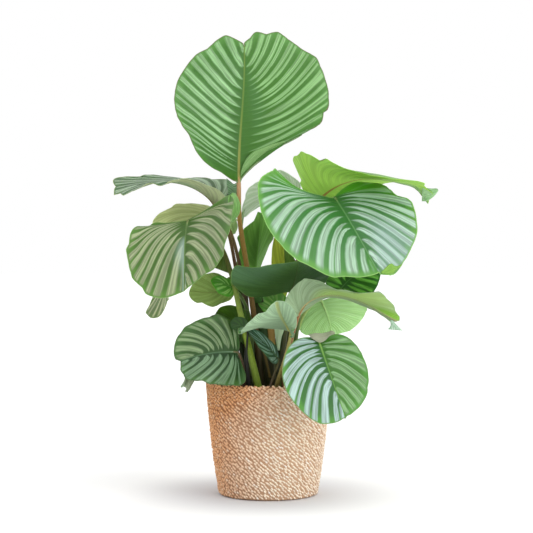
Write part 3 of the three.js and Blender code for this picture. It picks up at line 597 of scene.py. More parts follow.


# Small folded and rolled parts of leaves, sheaths among the stalks, and three dark sheets behind the stalks
# that are painted shade, standing for the shade in the clump's core. Each is a sheet that bulges forward
# between two lines of (x, z) in millimetres. Its depths are the y of each line, or a pair for a line that
# runs from one depth to another.
FOLDS = {
    "top_roll": sheet(
        "leaf_pale_underside", (156, 196, 130), (96, 150, 70), 2, (8, 3),
        ((-45, 503), (-36, 516), (-26, 526), (-15, 537), (-2, 547), (12, 555), (28, 562)),
        ((-44, 514), (-39, 528), (-33, 538), (-23, 547), (-10, 552), (6, 558), (25, 564)),
    ),
    "big_left_lobe": sheet(
        "leaf_striped", (170, 220, 134), (112, 172, 84), 3, ((-66, -121), (-40, -96)),
        ((-56, 477), (-62, 469), (-61, 457), (-61, 444), (-59, 429)),
        ((-52, 478), (-47, 469), (-43, 456), (-45, 443), (-54, 430)),
    ),
    "left_behind_lobe": sheet(
        "leaf_olive", (206, 240, 176), (150, 196, 120), 1, (52, 9), ((-64, 442), (-64, 429), (-62, 414)),
        ((-52, 439), (-49, 426), (-53, 415)),
    ),
    "far_left_lobe": sheet(
        "leaf_pale_underside", (146, 190, 142), (72, 114, 66), 3, ((71, 12), (40, 12)),
        ((-69, 508), (-63, 503), (-56, 497), (-49, 499), (-44, 489)),
        ((-67, 478), (-61, 474), (-56, 472), (-49, 471), (-45, 479)),
    ),
    "small_back_lobe": sheet(
        "leaf_pale_underside", (196, 218, 180), (150, 180, 128), 1, (58, 58),
        ((-41, 465), (-44, 449), (-45, 429)), ((-36, 467), (-39, 450), (-42, 427)),
    ),
    "upper_right_hook": sheet(
        "leaf_bright", (186, 224, 172), (110, 180, 96), 2, (-55, (-14, -40)),
        ((240, 486), (254, 484), (263, 484), (265, 482)),
        ((244, 466), (251, 466), (260, 472), (267, 481)),
    ),
    "big_right_roll": sheet(
        "leaf_bright", (158, 204, 96), (112, 166, 62), 1.5, (-147, -149),
        ((168, 354), (174, 360), (183, 367), (190, 363), (199, 366)),
        ((169, 352), (175, 351), (183, 349), (190, 356), (199, 365)),
    ),
    "arching_right_hook": sheet(
        "leaf_pale_underside", (206, 228, 212), (110, 160, 118), 1, (-67, -68),
        ((193, 279), (198, 273), (208, 263)), ((189, 279), (189, 270), (185, 265)),
    ),
    "lower_right_fold": sheet(
        "leaf_pale_underside", (186, 190, 164), (146, 152, 126), 1.5, (-106, -114),
        ((61, 259), (71, 261), (82, 261), (91, 263), (97, 265), (102, 261)),
        ((64, 255), (71, 250), (78, 247), (86, 250), (93, 257), (101, 260)),
    ),
    "hanging_tip": sheet(
        "leaf_pale_underside", (176, 188, 160), (118, 138, 98), 1.5, (-40, -40),
        ((-129, 195), (-132, 184), (-134, 175), (-129, 171), (-131, 166)),
        ((-111, 195), (-116, 183), (-121, 174), (-123, 170), (-127, 165)),
    ),
    "stalk_wing": sheet(
        "leaf_olive", (96, 118, 38), (56, 88, 14), 2, (-31, -31),
        ((-74, 387), (-76, 377), (-80, 368), (-87, 361)),
        ((-72, 388), (-68, 376), (-63, 364), (-60, 351)),
    ),
    "sheath_1": sheet(
        "stalk_green", (226, 246, 214), (180, 220, 160), 2, (0, 0),
        ((17, 286), (10, 267), (11, 251), (15, 228)), ((19, 286), (26, 267), (21, 248), (18, 228)),
    ),
    "sheath_2": sheet(
        "stalk_brown", (206, 160, 92), (150, 126, 66), 2, (5, 4),
        ((3, 289), (-1, 269), (0, 249), (4, 227)), ((4, 289), (11, 269), (11, 249), (12, 225)),
    ),
    "sheath_3": sheet(
        "stalk_green", (66, 100, 52), (36, 62, 28), 2, (9, 8),
        ((-9, 289), (-15, 270), (-10, 248), (-2, 223)), ((-7, 289), (0, 270), (2, 248), (6, 222)),
    ),
    "sheath_4": sheet(
        "stalk_green", (84, 116, 50), (44, 66, 26), 1, (7, 7),
        ((28, 286), (24, 267), (22, 244), (18, 225)), ((29, 286), (32, 267), (28, 244), (23, 225)),
    ),
    "sheath_5": sheet(
        "stalk_dark", (66, 64, 32), (34, 34, 22), 3, (-2, -4), ((-20, 229), (-13, 203), (-10, 171)),
        ((4, 229), (9, 203), (15, 172)),
    ),
    "sheath_6": sheet(
        "stalk_brown", (150, 124, 62), (90, 84, 40), 1.5, (-8, -8), ((-9, 226), (-4, 207), (1, 185)),
        ((-4, 226), (0, 207), (5, 185)),
    ),
    "sheath_7": sheet(
        "stalk_dark", (44, 60, 32), (24, 34, 20), 2, (2, 2), ((-50, 241), (-46, 225), (-41, 208)),
        ((-41, 241), (-38, 225), (-34, 208)),
    ),
    "sheath_8": sheet(
        "stalk_green", (80, 132, 60), (48, 92, 30), 2, (14, 14), ((-33, 318), (-32, 312), (-29, 304)),
        ((-10, 318), (-9, 312), (-12, 304)),
    ),
    "sheath_9": sheet(
        "stalk_green", (120, 156, 66), (80, 120, 40), 2, (40, 40), ((26, 396), (26, 383), (27, 368)),
        ((37, 386), (42, 376), (48, 368)),
    ),
    # Painted shade: these three dark sheets behind the stalks stand for the shade in the clump's core.
    "sheath_12": sheet(
        "stalk_dark", (60, 70, 36), (30, 36, 20), 2, (18, 18),
        ((29, 273), (19, 250), (16, 224), (3, 173)), ((30, 273), (35, 250), (29, 224), (25, 173)),
    ),
    "sheath_11": sheet(
        "stalk_dark", (70, 78, 44), (40, 44, 26), 2, (17, 17),
        ((-18, 341), (-22, 315), (-23, 289), (-24, 244), (-22, 208), (-18, 173)),
        ((-17, 341), (-9, 315), (-6, 289), (-4, 244), (-2, 208), (0, 173)),
    ),
    "sheath_10": sheet(
        "stalk_dark", (54, 74, 30), (30, 42, 18), 2, (16, 16),
        ((-46, 341), (-50, 321), (-48, 289), (-41, 244)),
        ((-44, 341), (-34, 320), (-30, 289), (-20, 244)),
    ),
}


def metres(name, description, default, **more):
    """A length that the user can change."""
    return bpy.props.FloatProperty(name=name, description=description, default=default, unit="LENGTH", **more)


def paint(name, description, *screen):
    """A colour that the user can change."""
    return bpy.props.FloatVectorProperty(
        name=name, description=description, default=srgb(*screen), subtype="COLOR", size=4, min=0, max=1
    )


class PlantSettings(bpy.types.PropertyGroup):
    """Sizes and finish of the leaves and stalks."""

    thickness: metres("Blade thickness", "Thickness of a leaf blade", 0.6 * MM, min=0.2 * MM)
    pleat: metres("Pleat height", "How far the light bands stand above the veins", 0.9 * MM)
    scallop: metres("Scallop depth", "How far the margin runs in and out", 1.2 * MM)
    rows: bpy.props.IntProperty(
        name="Rows along a big blade", description="Rows of faces from a blade's base to its tip",
        default=150, min=16,
    )
    columns: bpy.props.IntProperty(
        name="Columns in a half", description="Columns of faces from the midrib to the margin", default=24,
        min=6,
    )
    gloss: bpy.props.FloatProperty(
        name="Blade roughness", description="Roughness of a blade's upper side", default=0.4, min=0, max=1,
        subtype="FACTOR",
    )
    stalk_ridges: bpy.props.FloatProperty(
        name="Stalk ridges", description="Depth of a stalk's ridges as a share of its radius", default=0.07,
        subtype="FACTOR",
    )


class BasketSettings(bpy.types.PropertyGroup):
    """Sizes and colours of the woven basket."""

    course: metres("Course height", "Height of one course of the weave", 3.2 * MM)
    stitches: bpy.props.IntProperty(
        name="Stitches in a course", description="Stitches in one turn round the basket", default=74, min=12
    )
    strand: metres("Strand thickness", "Thickness of one strand of seagrass", 3.6 * MM)
    slant: metres("Slant", "How far a stitch falls from its left end to its right", 3.6 * MM)
    seed: bpy.props.IntProperty(name="Seed", description="Seed of the weave's irregularity", default=7)
    # Painted shade and light: the weave turns from the warm colour, at the shaded left and top, to the pale
    # one at the lit right.
    warm: paint("Warm straw", "Colour of the darker seagrass", 240, 180, 126)
    pale: paint("Pale straw", "Colour of the paler seagrass", 255, 247, 228)


class PotSettings(bpy.types.PropertyGroup):
    """The soil and the nursery pot."""

    crumb: metres("Crumb size", "Radius of the largest crumb of soil", 3.2 * MM)
    crumbs: bpy.props.FloatProperty(
        name="Crumb density", description="Crumbs on a square metre of soil", default=90000
    )
    seed: bpy.props.IntProperty(name="Seed", description="Seed of the crumbs' places", default=3)
    plastic: paint("Pot colour", "Colour of the nursery pot's plastic", 38, 38, 38)
    earth: paint("Soil colour", "Colour of the potting soil", 52, 38, 28)


class StageSettings(bpy.types.PropertyGroup):
    """The studio."""

    sky: bpy.props.FloatProperty(
        name="Room light", description="Strength of the even white light", default=1.0, min=0
    )
    key: bpy.props.FloatProperty(
        name="Main light", description="Strength of the main light", default=0.6, min=0
    )
    side: bpy.props.FloatProperty(
        name="Side light", description="Strength of the low light from the right", default=1.2, min=0
    )
    lens: bpy.props.FloatProperty(
        name="Lens", description="Focal length in millimetres", default=92.9, unit="CAMERA"
    )


class Nodes:
    """Adds nodes to one node tree and joins their sockets."""

    def __init__(self, tree):
        self.tree = tree

    def add(self, kind, inputs=None, **settings):
        node = self.tree.nodes.new(kind)
        for key, value in settings.items():
            setattr(node, key, value)
        for key, value in (inputs or {}).items():
            self.feed(node.inputs[key], value)
        return node

    def feed(self, socket, value):
        if isinstance(value, bpy.types.NodeSocket):
            self.tree.links.new(value, socket)
        else:
            socket.default_value = value

    def math(self, operation, *values):
        return self.out("ShaderNodeMath", dict(enumerate(values)), operation=operation)

    def plus(self, first, second):
        return self.math("ADD", first, second)

    def minus(self, first, second):
        return self.math("SUBTRACT", first, second)

    def times(self, first, second):
        return self.math("MULTIPLY", first, second)

    def over(self, first, second):
        return self.math("DIVIDE", first, second)

    def line(self, value, slope, start):
        """Start, plus slope for each unit of value."""
        return self.math("MULTIPLY_ADD", value, slope, start)

    def smooth(self, value, low, high, start=0.0, end=1.0):
        """Goes smoothly from start at low to end at high."""
        inputs = {0: value, 1: low, 2: high, 3: start, 4: end}
        return self.out("ShaderNodeMapRange", inputs, interpolation_type="SMOOTHSTEP")

    def mix(self, amount, first, second):
        return self.add("ShaderNodeMix", {0: amount, 6: first, 7: second}, data_type="RGBA").outputs[2]

    def turn(self, colour, other, value, low, high, start=0.0, end=1.0):
        """A colour that turns smoothly into another, from a share of start at low to one of end at high."""
        return self.mix(self.smooth(value, low, high, start, end), colour, other)

    def combine(self, x, y, z):
        return self.out("ShaderNodeCombineXYZ", {0: x, 1: y, 2: z})

    def split(self, vector):
        return self.add("ShaderNodeSeparateXYZ", {0: vector}).outputs

    def stretched(self, vector, factors):
        return self.out("ShaderNodeVectorMath", {0: vector, 1: factors}, operation="MULTIPLY")

    def noise(self, place, scale, detail=2.0, roughness=0.5):
        inputs = {"Vector": place, "Scale": scale, "Detail": detail, "Roughness": roughness}
        return self.out("ShaderNodeTexNoise", inputs)

    def object_place(self):
        return self.add("ShaderNodeTexCoord").outputs["Object"]

    def out(self, kind, inputs=None, **settings):
        """A new node's first output."""
        return self.add(kind, inputs, **settings).outputs[0]

    def attribute(self, name, output="Fac"):
        return self.add("ShaderNodeAttribute", attribute_name=name).outputs[output]

    def stored(self, geometry, name, value, domain="POINT"):
        """Geometry with a value stored on it as a named attribute."""
        inputs = {0: geometry, "Name": name, "Value": value}
        node = self.add("GeometryNodeStoreNamedAttribute", inputs, data_type="FLOAT", domain=domain)
        return node.outputs[0]


def finish_material(name, roughness, specular=0.5):
    """A new material: its node helper and its shader."""
    material = bpy.data.materials.new(name)
    material.use_nodes = True
    shader = material.node_tree.nodes["Principled BSDF"]
    shader.inputs["Roughness"].default_value = roughness
    shader.inputs["Specular IOR Level"].default_value = specular
    return material, Nodes(material.node_tree), shader


def let_light_through(material, nodes, shader, colour, amount):
    """Lets some light through a thin sheet, tinted by its colour."""
    glow = nodes.mix(0.5, colour, srgb(205, 235, 120))
    through = nodes.out("ShaderNodeBsdfTranslucent", {"Color": glow})
    both = nodes.out("ShaderNodeMixShader", {0: amount, 1: shader.outputs[0], 2: through})
    nodes.feed(material.node_tree.nodes["Material Output"].inputs["Surface"], both)


def coat(nodes, shader, colour, relief, depth, strength):
    """Gives a shader its colour and its fine relief, whose depth is in metres."""
    nodes.feed(shader.inputs["Base Color"], colour)
    inputs = {"Height": relief, "Distance": depth, "Strength": strength}
    nodes.feed(shader.inputs["Normal"], nodes.out("ShaderNodeBump", inputs))


def along(values, share):
    """A value that runs along the midrib through two or three given ones."""
    if len(values) == 2:
        return values[0] + (values[1] - values[0]) * share
    start, middle, end = values
    rest = 1 - share
    return start * rest * (1 - 2 * share) + 4 * middle * share * rest + end * share * (2 * share - 1)


def directions(leaf, share):
    """Along the midrib, to the blade's right, and out of its upper side, at shares of the blade's length."""
    azimuth, pitch, roll = (np.radians(along(leaf[key], share)) for key in ("azimuth", "pitch", "roll"))
    forward = np.stack([np.cos(pitch) * np.cos(azimuth), np.cos(pitch) * np.sin(azimuth), np.sin(pitch)], -1)
    level = np.stack([np.sin(azimuth), -np.cos(azimuth), 0 * azimuth], -1)
    side = level * np.cos(roll)[..., None] - np.cross(forward, level) * np.sin(roll)[..., None]
    return forward, side, np.cross(side, forward)


class Midrib:
    """The line and the directions of a leaf's midrib, in millimetres."""

    STEPS = 64

    def __init__(self, leaf):
        self.length = leaf["length"]
        share = np.linspace(0, 1, self.STEPS + 1)
        self.forward, self.side, self.up = directions(leaf, share)
        ahead = directions(leaf, share[:-1] + 0.5 / self.STEPS)[0]
        steps = np.concatenate([np.zeros((1, 3)), np.cumsum(ahead, 0)]) * self.length / self.STEPS
        self.point = np.array(leaf["base"], float) + steps

    def at(self, distance):
        """Place, side, up and share at distances along it, straight on past its ends."""
        inside = np.clip(distance, 0, self.length)
        position = inside / self.length * self.STEPS
        low = np.minimum(position.astype(int), self.STEPS - 1)
        rest = (position - low)[..., None]
        lines = (self.point, self.forward, self.side, self.up)
        point, forward, side, up = (line[low] * (1 - rest) + line[low + 1] * rest for line in lines)
        return point + forward * (distance - inside)[..., None], side, up, inside / self.length


def half_blade(leaf, midrib, vein, out, sign, veins):
    """Points of a blade's right half (sign 1) or left half, by vein and by share from midrib to margin, and
    how wide the half is there, in millimetres."""
    form = leaf["right"] if sign > 0 else leaf["left"]
    turn = np.pi * vein
    start = leaf["length"] * (1 - (1 - vein ** veins["early"]) ** (1 / veins["late"]))
    reach = 0.5 * (1 - np.cos(turn)) - form["lobe"] * 2.5 * np.sin(turn) * (1 - vein) ** 2
    reach = reach + form["notch"] * 5.8 * np.sin(turn) * vein**6
    width = form["width"] * np.sin(turn) ** form["round"] * (1 + form["skew"] * np.cos(turn))
    distance = start + (leaf["length"] * reach - start) * out ** veins["sweep"]
    across = width * out
    point, side, up, share = midrib.at(distance)
    fold = np.radians(along(form["fold"], share))
    curl = np.radians(along(form["curl"], share))
    bend = np.where(np.abs(curl) < 0.001, 0.001, curl) / form["width"]
    sideways = (np.sin(fold + bend * across) - np.sin(fold)) / bend
    waves = 3 * vein + (0.25 if sign > 0 else 0)
    wave = leaf["wave"] * out**2 * np.sin(turn) * np.sin(2 * np.pi * waves)
    upwards = (np.cos(fold) - np.cos(fold + bend * across)) / bend + wave
    points = point + side * (sign * sideways)[..., None] + up * upwards[..., None]
    return points, np.broadcast_to(width, across.shape)


USUAL_VEINS = (veined(1.5, 2.0, 1.7), veined(1.5, 2.0, 1.7))


def usual_bands(count):
    """Dark bands of both halves, a wide and a narrow one by turns, closer together towards the tip."""
    halves = []
    for shift in (0.2, 0.6):
        places = [((number - shift) / count) ** 0.67 for number in range(1, count + 1)]
        widths = [(0.55 if number % 2 else 0.3) / count for number in range(count)]
        halves.append([(place - 0.03, place, width) for place, width in zip(places, widths)])
    return halves


def count_bands(bands, vein, out):
    """At each place of a half, the number of dark bands before it, and how much of the way from one band's
    middle to the next belongs to the nearer band."""
    near, far, wide = np.array(bands).T
    wide = np.concatenate([wide[:1], wide, wide[-1:]])
    past_tip = 1.03
    counted = np.zeros((len(vein), len(out)))
    dark = np.zeros_like(counted)
    for column, share in enumerate(out):
        middles = far + (near - far) * max(0.85 - share, 0) ** 1.35 / 0.6**1.35
        middles = np.concatenate([[2 * middles[0] - middles[1]], middles, [past_tip]])
        middles = np.maximum.accumulate(middles) + 1e-4 * np.arange(len(middles))
        counted[:, column] = np.interp(vein, middles, np.arange(len(middles)))
        before = np.clip(counted[:, column].astype(int), 0, len(middles) - 2)
        room = (middles[1:] - middles[:-1])[before]
        dark[:, column] = np.minimum(wide[np.round(counted[:, column]).astype(int)] / room, 1.2)
    return counted, dark


def rim_distance(points, rim):
    """Millimetres from points to the nearest place on a line through the points of a rim."""
    run = np.diff(rim, axis=0)
    long = np.maximum((run**2).sum(-1), 1e-9)
    share = np.clip(((points[:, None] - rim[:-1]) * run).sum(-1) / long, 0, 1)
    return np.linalg.norm(points[:, None] - rim[:-1] - share[..., None] * run, axis=-1).min(1)


def off_outline(name, vein, side):
    """Millimetres from the plain outline to the real margin of one half, at each vein."""
    if name not in MARGINS:
        return 0 * vein
    places, distances = zip(*MARGINS[name][side])
    rough = np.interp(vein, np.array(places) / 100, distances)
    return np.convolve(np.pad(rough, 1, mode="edge"), (0.25, 0.5, 0.25), mode="valid")


def both_halves(left, right):
    """Both halves' columns, from the left margin to the right."""
    return np.concatenate([left[:, :0:-1], right], 1)


def square_out(edge, inner):
    """Directions in the blade, square to its margin and away from it."""
    run = np.gradient(edge, axis=0)
    run = run / np.linalg.norm(run, axis=-1, keepdims=True)
    away = edge - inner
    away = away - run * (away * run).sum(-1, keepdims=True)
    return away / np.maximum(np.linalg.norm(away, axis=-1, keepdims=True), 1e-6)


def margin_moved(name, grid, vein, across, width, scallop):
    """How a blade's points move, in millimetres, so that its margins run as the real ones do."""
    moved = []
    for side, wide in enumerate((width[:, 0], width[:, -1])):
        uneven = np.array([noise.noise(Vector((v * 11, side * 3, len(name)))) for v in vein]) * scallop / MM
        moved.append((off_outline(name, vein, side) + uneven * np.minimum(wide / 50, 1))[:, None])
    outward = [square_out(grid[:, edge], grid[:, inner])[:, None] for edge, inner in ((0, 1), (-1, -2))]
    moved = np.maximum(np.where(across < 0, *moved), -0.6 * width)
    return np.where((across < 0)[..., None], *outward) * (moved * np.abs(across) ** 4)[..., None]


def blade_lift(name, across, veins, counted, width, pleat):
    """How far a blade's points lie above its plain sheet, in millimetres, in pleats and ripples."""
    share = np.abs(across)
    ridge = 0.5 - 0.5 * np.cos(2 * np.pi * counted)
    ridge = ridge - 0.45 * np.exp(-(((counted % 1) - 0.5) / 0.07) ** 2)
    size = np.clip(width / 60, 0.15, 1)
    lift = pleat / MM * size * (ridge - 0.4) * np.minimum(share * 5, 1) * np.sin(np.pi * veins) ** 0.5
    places = zip(across.ravel(), veins.ravel())
    ripple = np.array([noise.noise(Vector((a * 4, v * 10, len(name) * 1.7))) for a, v in places])
    return lift + ripple.reshape(lift.shape) * 1.8 * size * share**2


def blade_sheet(name, leaf, colours, settings, rows, columns):
    """The middle surface of a blade: points in metres, faces, the points round its rim, and at each point its
    signed share across, vein, millimetres from midrib and margin, bands, and metres above the plain sheet."""
    midrib = Midrib(leaf)
    vein = (np.arange(1, rows) / rows)[:, None]
    out = (np.linspace(0, 1, columns + 1) ** 1.35)[None, :]
    left_veins, right_veins = VEINS.get(name, USUAL_VEINS)
    left, left_width = half_blade(leaf, midrib, vein, out, -1, left_veins)
    right, right_width = half_blade(leaf, midrib, vein, out, 1, right_veins)
    grid = both_halves(left, right)
    width = both_halves(left_width, right_width)
    across = np.repeat(both_halves(-out, out), rows - 1, 0)
    veins = np.repeat(vein, 2 * columns + 1, 1)
    grid = grid + margin_moved(name, grid, vein[:, 0], across, width, settings.scallop)
    if name in TUCKS:
        xs, tops, kept = zip(*TUCKS[name])
        top, keep = (np.interp(grid[..., 0], xs, values) for values in (tops, kept))
        grid[..., 2] = top + (grid[..., 2] - top) * keep
    bands = [np.array(half_bands) / 1000 for half_bands in DARK_BANDS.get(name, ())]
    told = [count_bands(one, vein[:, 0], out[0]) for one in bands or usual_bands(colours["bands"])]
    counted, dark = (both_halves(left, right) for left, right in zip(*told))
    base, tip = midrib.point[:1], midrib.point[-1:]
    from_edge = []
    for columns_of_half, edge in ((slice(columns + 1), 0), (slice(columns + 1, None), -1)):
        part = grid[:, columns_of_half]
        rim = np.concatenate([base, grid[:, edge], tip])
        from_edge.append(rim_distance(part.reshape(-1, 3), rim).reshape(part.shape[:2]))
    lift = blade_lift(name, across, veins, counted, width, settings.pleat)

    def whole(values, at_base, at_tip):
        return np.concatenate([[at_base], values.reshape((-1,) + values.shape[2:]), [at_tip]])

    points = whole(grid, base[0], tip[0]) * MM
    facts = dict(
        across=whole(across, 0, 0),
        vein=whole(veins, 0, 1),
        from_rib=whole(np.abs(across) * width, 0, 0),
        from_edge=whole(np.concatenate(from_edge, 1), 0, 0),
        dark=whole(dark, 1, 1),
        lift=whole(lift, 0, 0) * MM,
        counted=whole(counted, 0, counted[-1, columns]),
    )
    line = 2 * columns + 1
    last = len(points) - 1

    def at(row, column):
        return 1 + (row - 1) * line + column

    faces = []
    for column in range(line - 1):
        faces.append((0, at(1, column + 1), at(1, column)))
        faces.append((last, at(rows - 1, column), at(rows - 1, column + 1)))
        for row in range(1, rows - 1):
            faces.append((at(row, column), at(row, column + 1), at(row + 1, column + 1), at(row + 1, column)))
    right_rim = [at(row, line - 1) for row in range(1, rows)]
    left_rim = [at(row, 0) for row in range(rows - 1, 0, -1)]
    return points, faces, [0, *right_rim, last, *left_rim], facts


def point_normals(points, faces):
    """The normals of a sheet at its points."""
    mesh = bpy.data.meshes.new("sheet")
    mesh.from_pydata(points.tolist(), [], faces)
    normals = np.zeros(len(points) * 3, np.float32)
    mesh.vertex_normals.foreach_get("vector", normals)
    bpy.data.meshes.remove(mesh)
    return normals.reshape(-1, 3)


def round_trip(rim):
    """The edges of a closed rim."""
    return list(zip(rim, rim[1:] + rim[:1]))


def corner_points(mesh, count):
    """The sheet's point at each corner of a mesh with count points in front and as many behind."""
    corners = np.zeros(len(mesh.loops), np.int32)
    mesh.loops.foreach_get("vertex_index", corners)
    return corners % count


def keep_fact(mesh, name, kind, values):
    """Stores values as an attribute of a mesh's points."""
    attribute = mesh.attributes.new(name, kind, "POINT")
    attribute.data.foreach_set("value" if kind == "FLOAT" else "vector", values.ravel().astype(np.float32))


def blade_mesh(name, leaf, colours, settings):
    """A blade as one closed sheet: pleated, with a raised rib under it and a shallow one on top."""
    size = max(leaf["length"], leaf["left"]["width"] + leaf["right"]["width"])
    fineness = min(1, size / BIG_BLADE)
    rows = max(40, round(settings.rows * fineness))
    columns = max(10, round(settings.columns * fineness))
    points, faces, rim, facts = blade_sheet(name, leaf, colours, settings, rows, columns)
    points = points + point_normals(points, faces) * facts["lift"][:, None]
    normals = point_normals(points, faces)
    thin = settings.thickness * np.where(facts["from_edge"] < 0.01, 0.7, 1)
    share = facts["vein"]
    rib = np.exp(-((facts["from_rib"] / (0.55 * along(colours["rib_width"], share))) ** 2))
    keel = rib * (2.0 - 1.6 * share) * MM
    crest = rib * (0.5 - 0.4 * share) * MM
    top = points + normals * (0.5 * thin + crest)[:, None]
    bottom = points - normals * (0.5 * thin + keel)[:, None]
    count = len(points)
    under = [tuple(count + i for i in (face[0], *face[:0:-1])) for face in faces]
    walls = [(a, a + count, b + count, b) for a, b in round_trip(rim)]
    mesh = bpy.data.meshes.new(name)
    mesh.from_pydata(np.concatenate([top, bottom]).tolist(), [], faces + under + walls)
    sides = np.repeat(np.array([0, 1, 1], np.int32), (len(faces), len(under), len(walls)))
    mesh.polygons.foreach_set("material_index", sides)
    mesh.polygons.foreach_set("use_smooth", np.ones(len(sides), bool))
    keys = {tuple(sorted((a + shift, b + shift))) for shift in (0, count) for a, b in round_trip(rim)}
    sharp = mesh.attributes.new("sharp_edge", "BOOLEAN", "EDGE")
    sharp.data.foreach_set("value", [tuple(sorted(edge.vertices)) in keys for edge in mesh.edges])
    flat = np.stack([0.5 + 0.5 * facts["across"], facts["counted"]], -1)[corner_points(mesh, count)]
    mesh.uv_layers.new(name="veins").data.foreach_set("uv", flat.ravel().astype(np.float32))
    told = np.stack([facts["from_rib"], facts["from_edge"], facts["vein"]], -1)
    keep_fact(mesh, "place", "FLOAT_VECTOR", np.concatenate([told, told]))
    keep_fact(mesh, "dark", "FLOAT", np.tile(facts["dark"], 2))
    mesh.update()
    return mesh


def fold_sheet(fold, rows, columns):
    """The middle surface of a fold, by row and column, in millimetres: pleated, and bulged forward."""
    lines = []
    for key, depth in zip(("one", "other"), fold["depths"]):
        depths = np.linspace(*np.broadcast_to(depth, 2), len(fold[key]))
        line = smooth_line([(x, y, z) for (x, z), y in zip(fold[key], depths)], 1.0)
        gone = lengths_along(line)
        even = np.linspace(0, gone[-1], rows + 1)
        lines.append(np.stack([np.interp(even, gone, line[:, axis]) for axis in range(3)], -1))
    across = np.linspace(0, 1, columns + 1)[None, :, None]
    sheet = lines[0][:, None] * (1 - across) + lines[1][:, None] * across
    rise = fold["bulge"] * np.sin(np.pi * across[..., 0]) + 0.35 * np.sin(2 * np.pi * 3 * across[..., 0])
    sheet[..., 1] -= rise * np.sin(np.linspace(0.15, 3.0, rows + 1))[:, None]
    return sheet


def fold_mesh(name, fold, thickness):
    """A fold as a closed sheet, with UV across and along it."""
    rows, columns = 28, 10
    points, count = fold_sheet(fold, rows, columns).reshape(-1, 3) * MM, (rows + 1) * (columns + 1)
    half_thick = np.array([0, 0.5 * thickness, 0])

    def at(row, column):
        return row * (columns + 1) + column

    cells = [(r, c) for r in range(rows) for c in range(columns)]
    faces = [(at(r, c), at(r + 1, c), at(r + 1, c + 1), at(r, c + 1)) for r, c in cells]
    backs = [tuple(count + i for i in face[::-1]) for face in faces]
    rim = [at(0, c) for c in range(columns)] + [at(r, columns) for r in range(rows)]
    rim += [at(rows, c) for c in range(columns, 0, -1)] + [at(r, 0) for r in range(rows, 0, -1)]
    walls = [(a, b, b + count, a + count) for a, b in round_trip(rim)]
    mesh = bpy.data.meshes.new(name)
    both = np.concatenate([points - half_thick, points + half_thick])
    mesh.from_pydata(both.tolist(), [], faces + backs + walls)
    mesh.polygons.foreach_set("use_smooth", np.arange(len(mesh.polygons)) < 2 * len(faces))
    row, column = np.divmod(corner_points(mesh, count), columns + 1)
    flat = np.stack([column / columns, row / rows], -1)
    mesh.uv_layers.new(name="sheet").data.foreach_set("uv", flat.ravel().astype(np.float32))
    grid = bmesh.new()
    grid.from_mesh(mesh)
    bmesh.ops.recalc_face_normals(grid, faces=grid.faces)
    grid.to_mesh(mesh)
    grid.free()
    return mesh


def fold_material(name, fold):
    material, nodes, shader = finish_material(name, 0.5, 0.35)
    across, run, _ = nodes.split(nodes.out("ShaderNodeUVMap", uv_map="sheet"))
    place = nodes.combine(nodes.times(across, 14.0), nodes.times(run, 2.0), len(name))
    streaks = nodes.noise(place, 1.0, 3.0)
    pale, deep = srgb(*fold["colour"]), srgb(*fold["deep"])
    colour = nodes.turn(pale, deep, nodes.math("SINE", nodes.times(across, 44.0)), -0.2, 1.0, 0.0, 0.6)
    colour = nodes.turn(colour, deep, streaks, 0.4, 0.62, 0.0, 0.7)
    coat(nodes, shader, colour, streaks, 0.3 * MM, 0.6)
    let_light_through(material, nodes, shader, colour, 0.2)
    return material


def banded(nodes, colours, seed):
    """The bands of a blade: shares across and along, how far a place is into a light band, fine streaks along
    the veins, which half it is in, and millimetres from the midrib and the margin."""
    across, count, _ = nodes.split(nodes.out("ShaderNodeUVMap", uv_map="veins"))
    from_rib, from_edge, vein = nodes.split(nodes.attribute("place", "Vector"))
    dark = nodes.attribute("dark")
    signed = nodes.line(across, 2.0, -1.0)
    share = nodes.math("ABSOLUTE", signed)
    right = nodes.math("GREATER_THAN", signed, 0.0)
    wander = nodes.noise(nodes.combine(nodes.times(signed, 3.0), count, seed), 1.6)
    counted = nodes.line(nodes.minus(wander, 0.5), 0.16, count)
    from_vein = nodes.minus(1.0, nodes.math("ABSOLUTE", nodes.line(nodes.math("FRACT", counted), 2.0, -1.0)))

    def of_half(on_left, on_right):
        return nodes.line(right, on_right - on_left, on_left)

    (left_start, left_full), (right_start, right_full) = colours["ends"]
    start, full = of_half(left_start, right_start), of_half(left_full, right_full)
    opened = nodes.out("ShaderNodeMapRange", {0: share, 1: start, 2: full})
    opened = nodes.math("POWER", opened, 0.75)
    low = nodes.minus(1.1, nodes.times(nodes.minus(1.1, dark), opened))
    light = nodes.smooth(from_vein, nodes.minus(low, 0.2), nodes.plus(low, 0.2))
    fade = of_half(*colours["fade"])
    light = nodes.times(light, nodes.smooth(from_edge, nodes.times(fade, 0.2), fade, 0.1, 1.0))
    streaks = nodes.noise(nodes.combine(nodes.times(signed, 1.6), nodes.times(counted, 8.0), seed), 1.0, 3.0)
    return dict(
        signed=signed, vein=vein, light=light, streaks=streaks, share=share, right=right, counted=counted,
        from_rib=from_rib, from_edge=from_edge,
    )


def patched(nodes, colour, bands, patches):
    """Soft patches of other colours over a colour: mostly the leaf's own tints, and a few painted highlights
    and sheens.
    """
    for across, vein, wide, tall, other, amount in patches:
        x = nodes.over(nodes.minus(bands["signed"], across), wide)
        y = nodes.over(nodes.minus(bands["vein"], vein), tall)
        far = nodes.math("SQRT", nodes.plus(nodes.times(x, x), nodes.times(y, y)))
        colour = nodes.turn(colour, srgb(*other), far, 1.0, 0.2, 0.0, amount)
    return colour


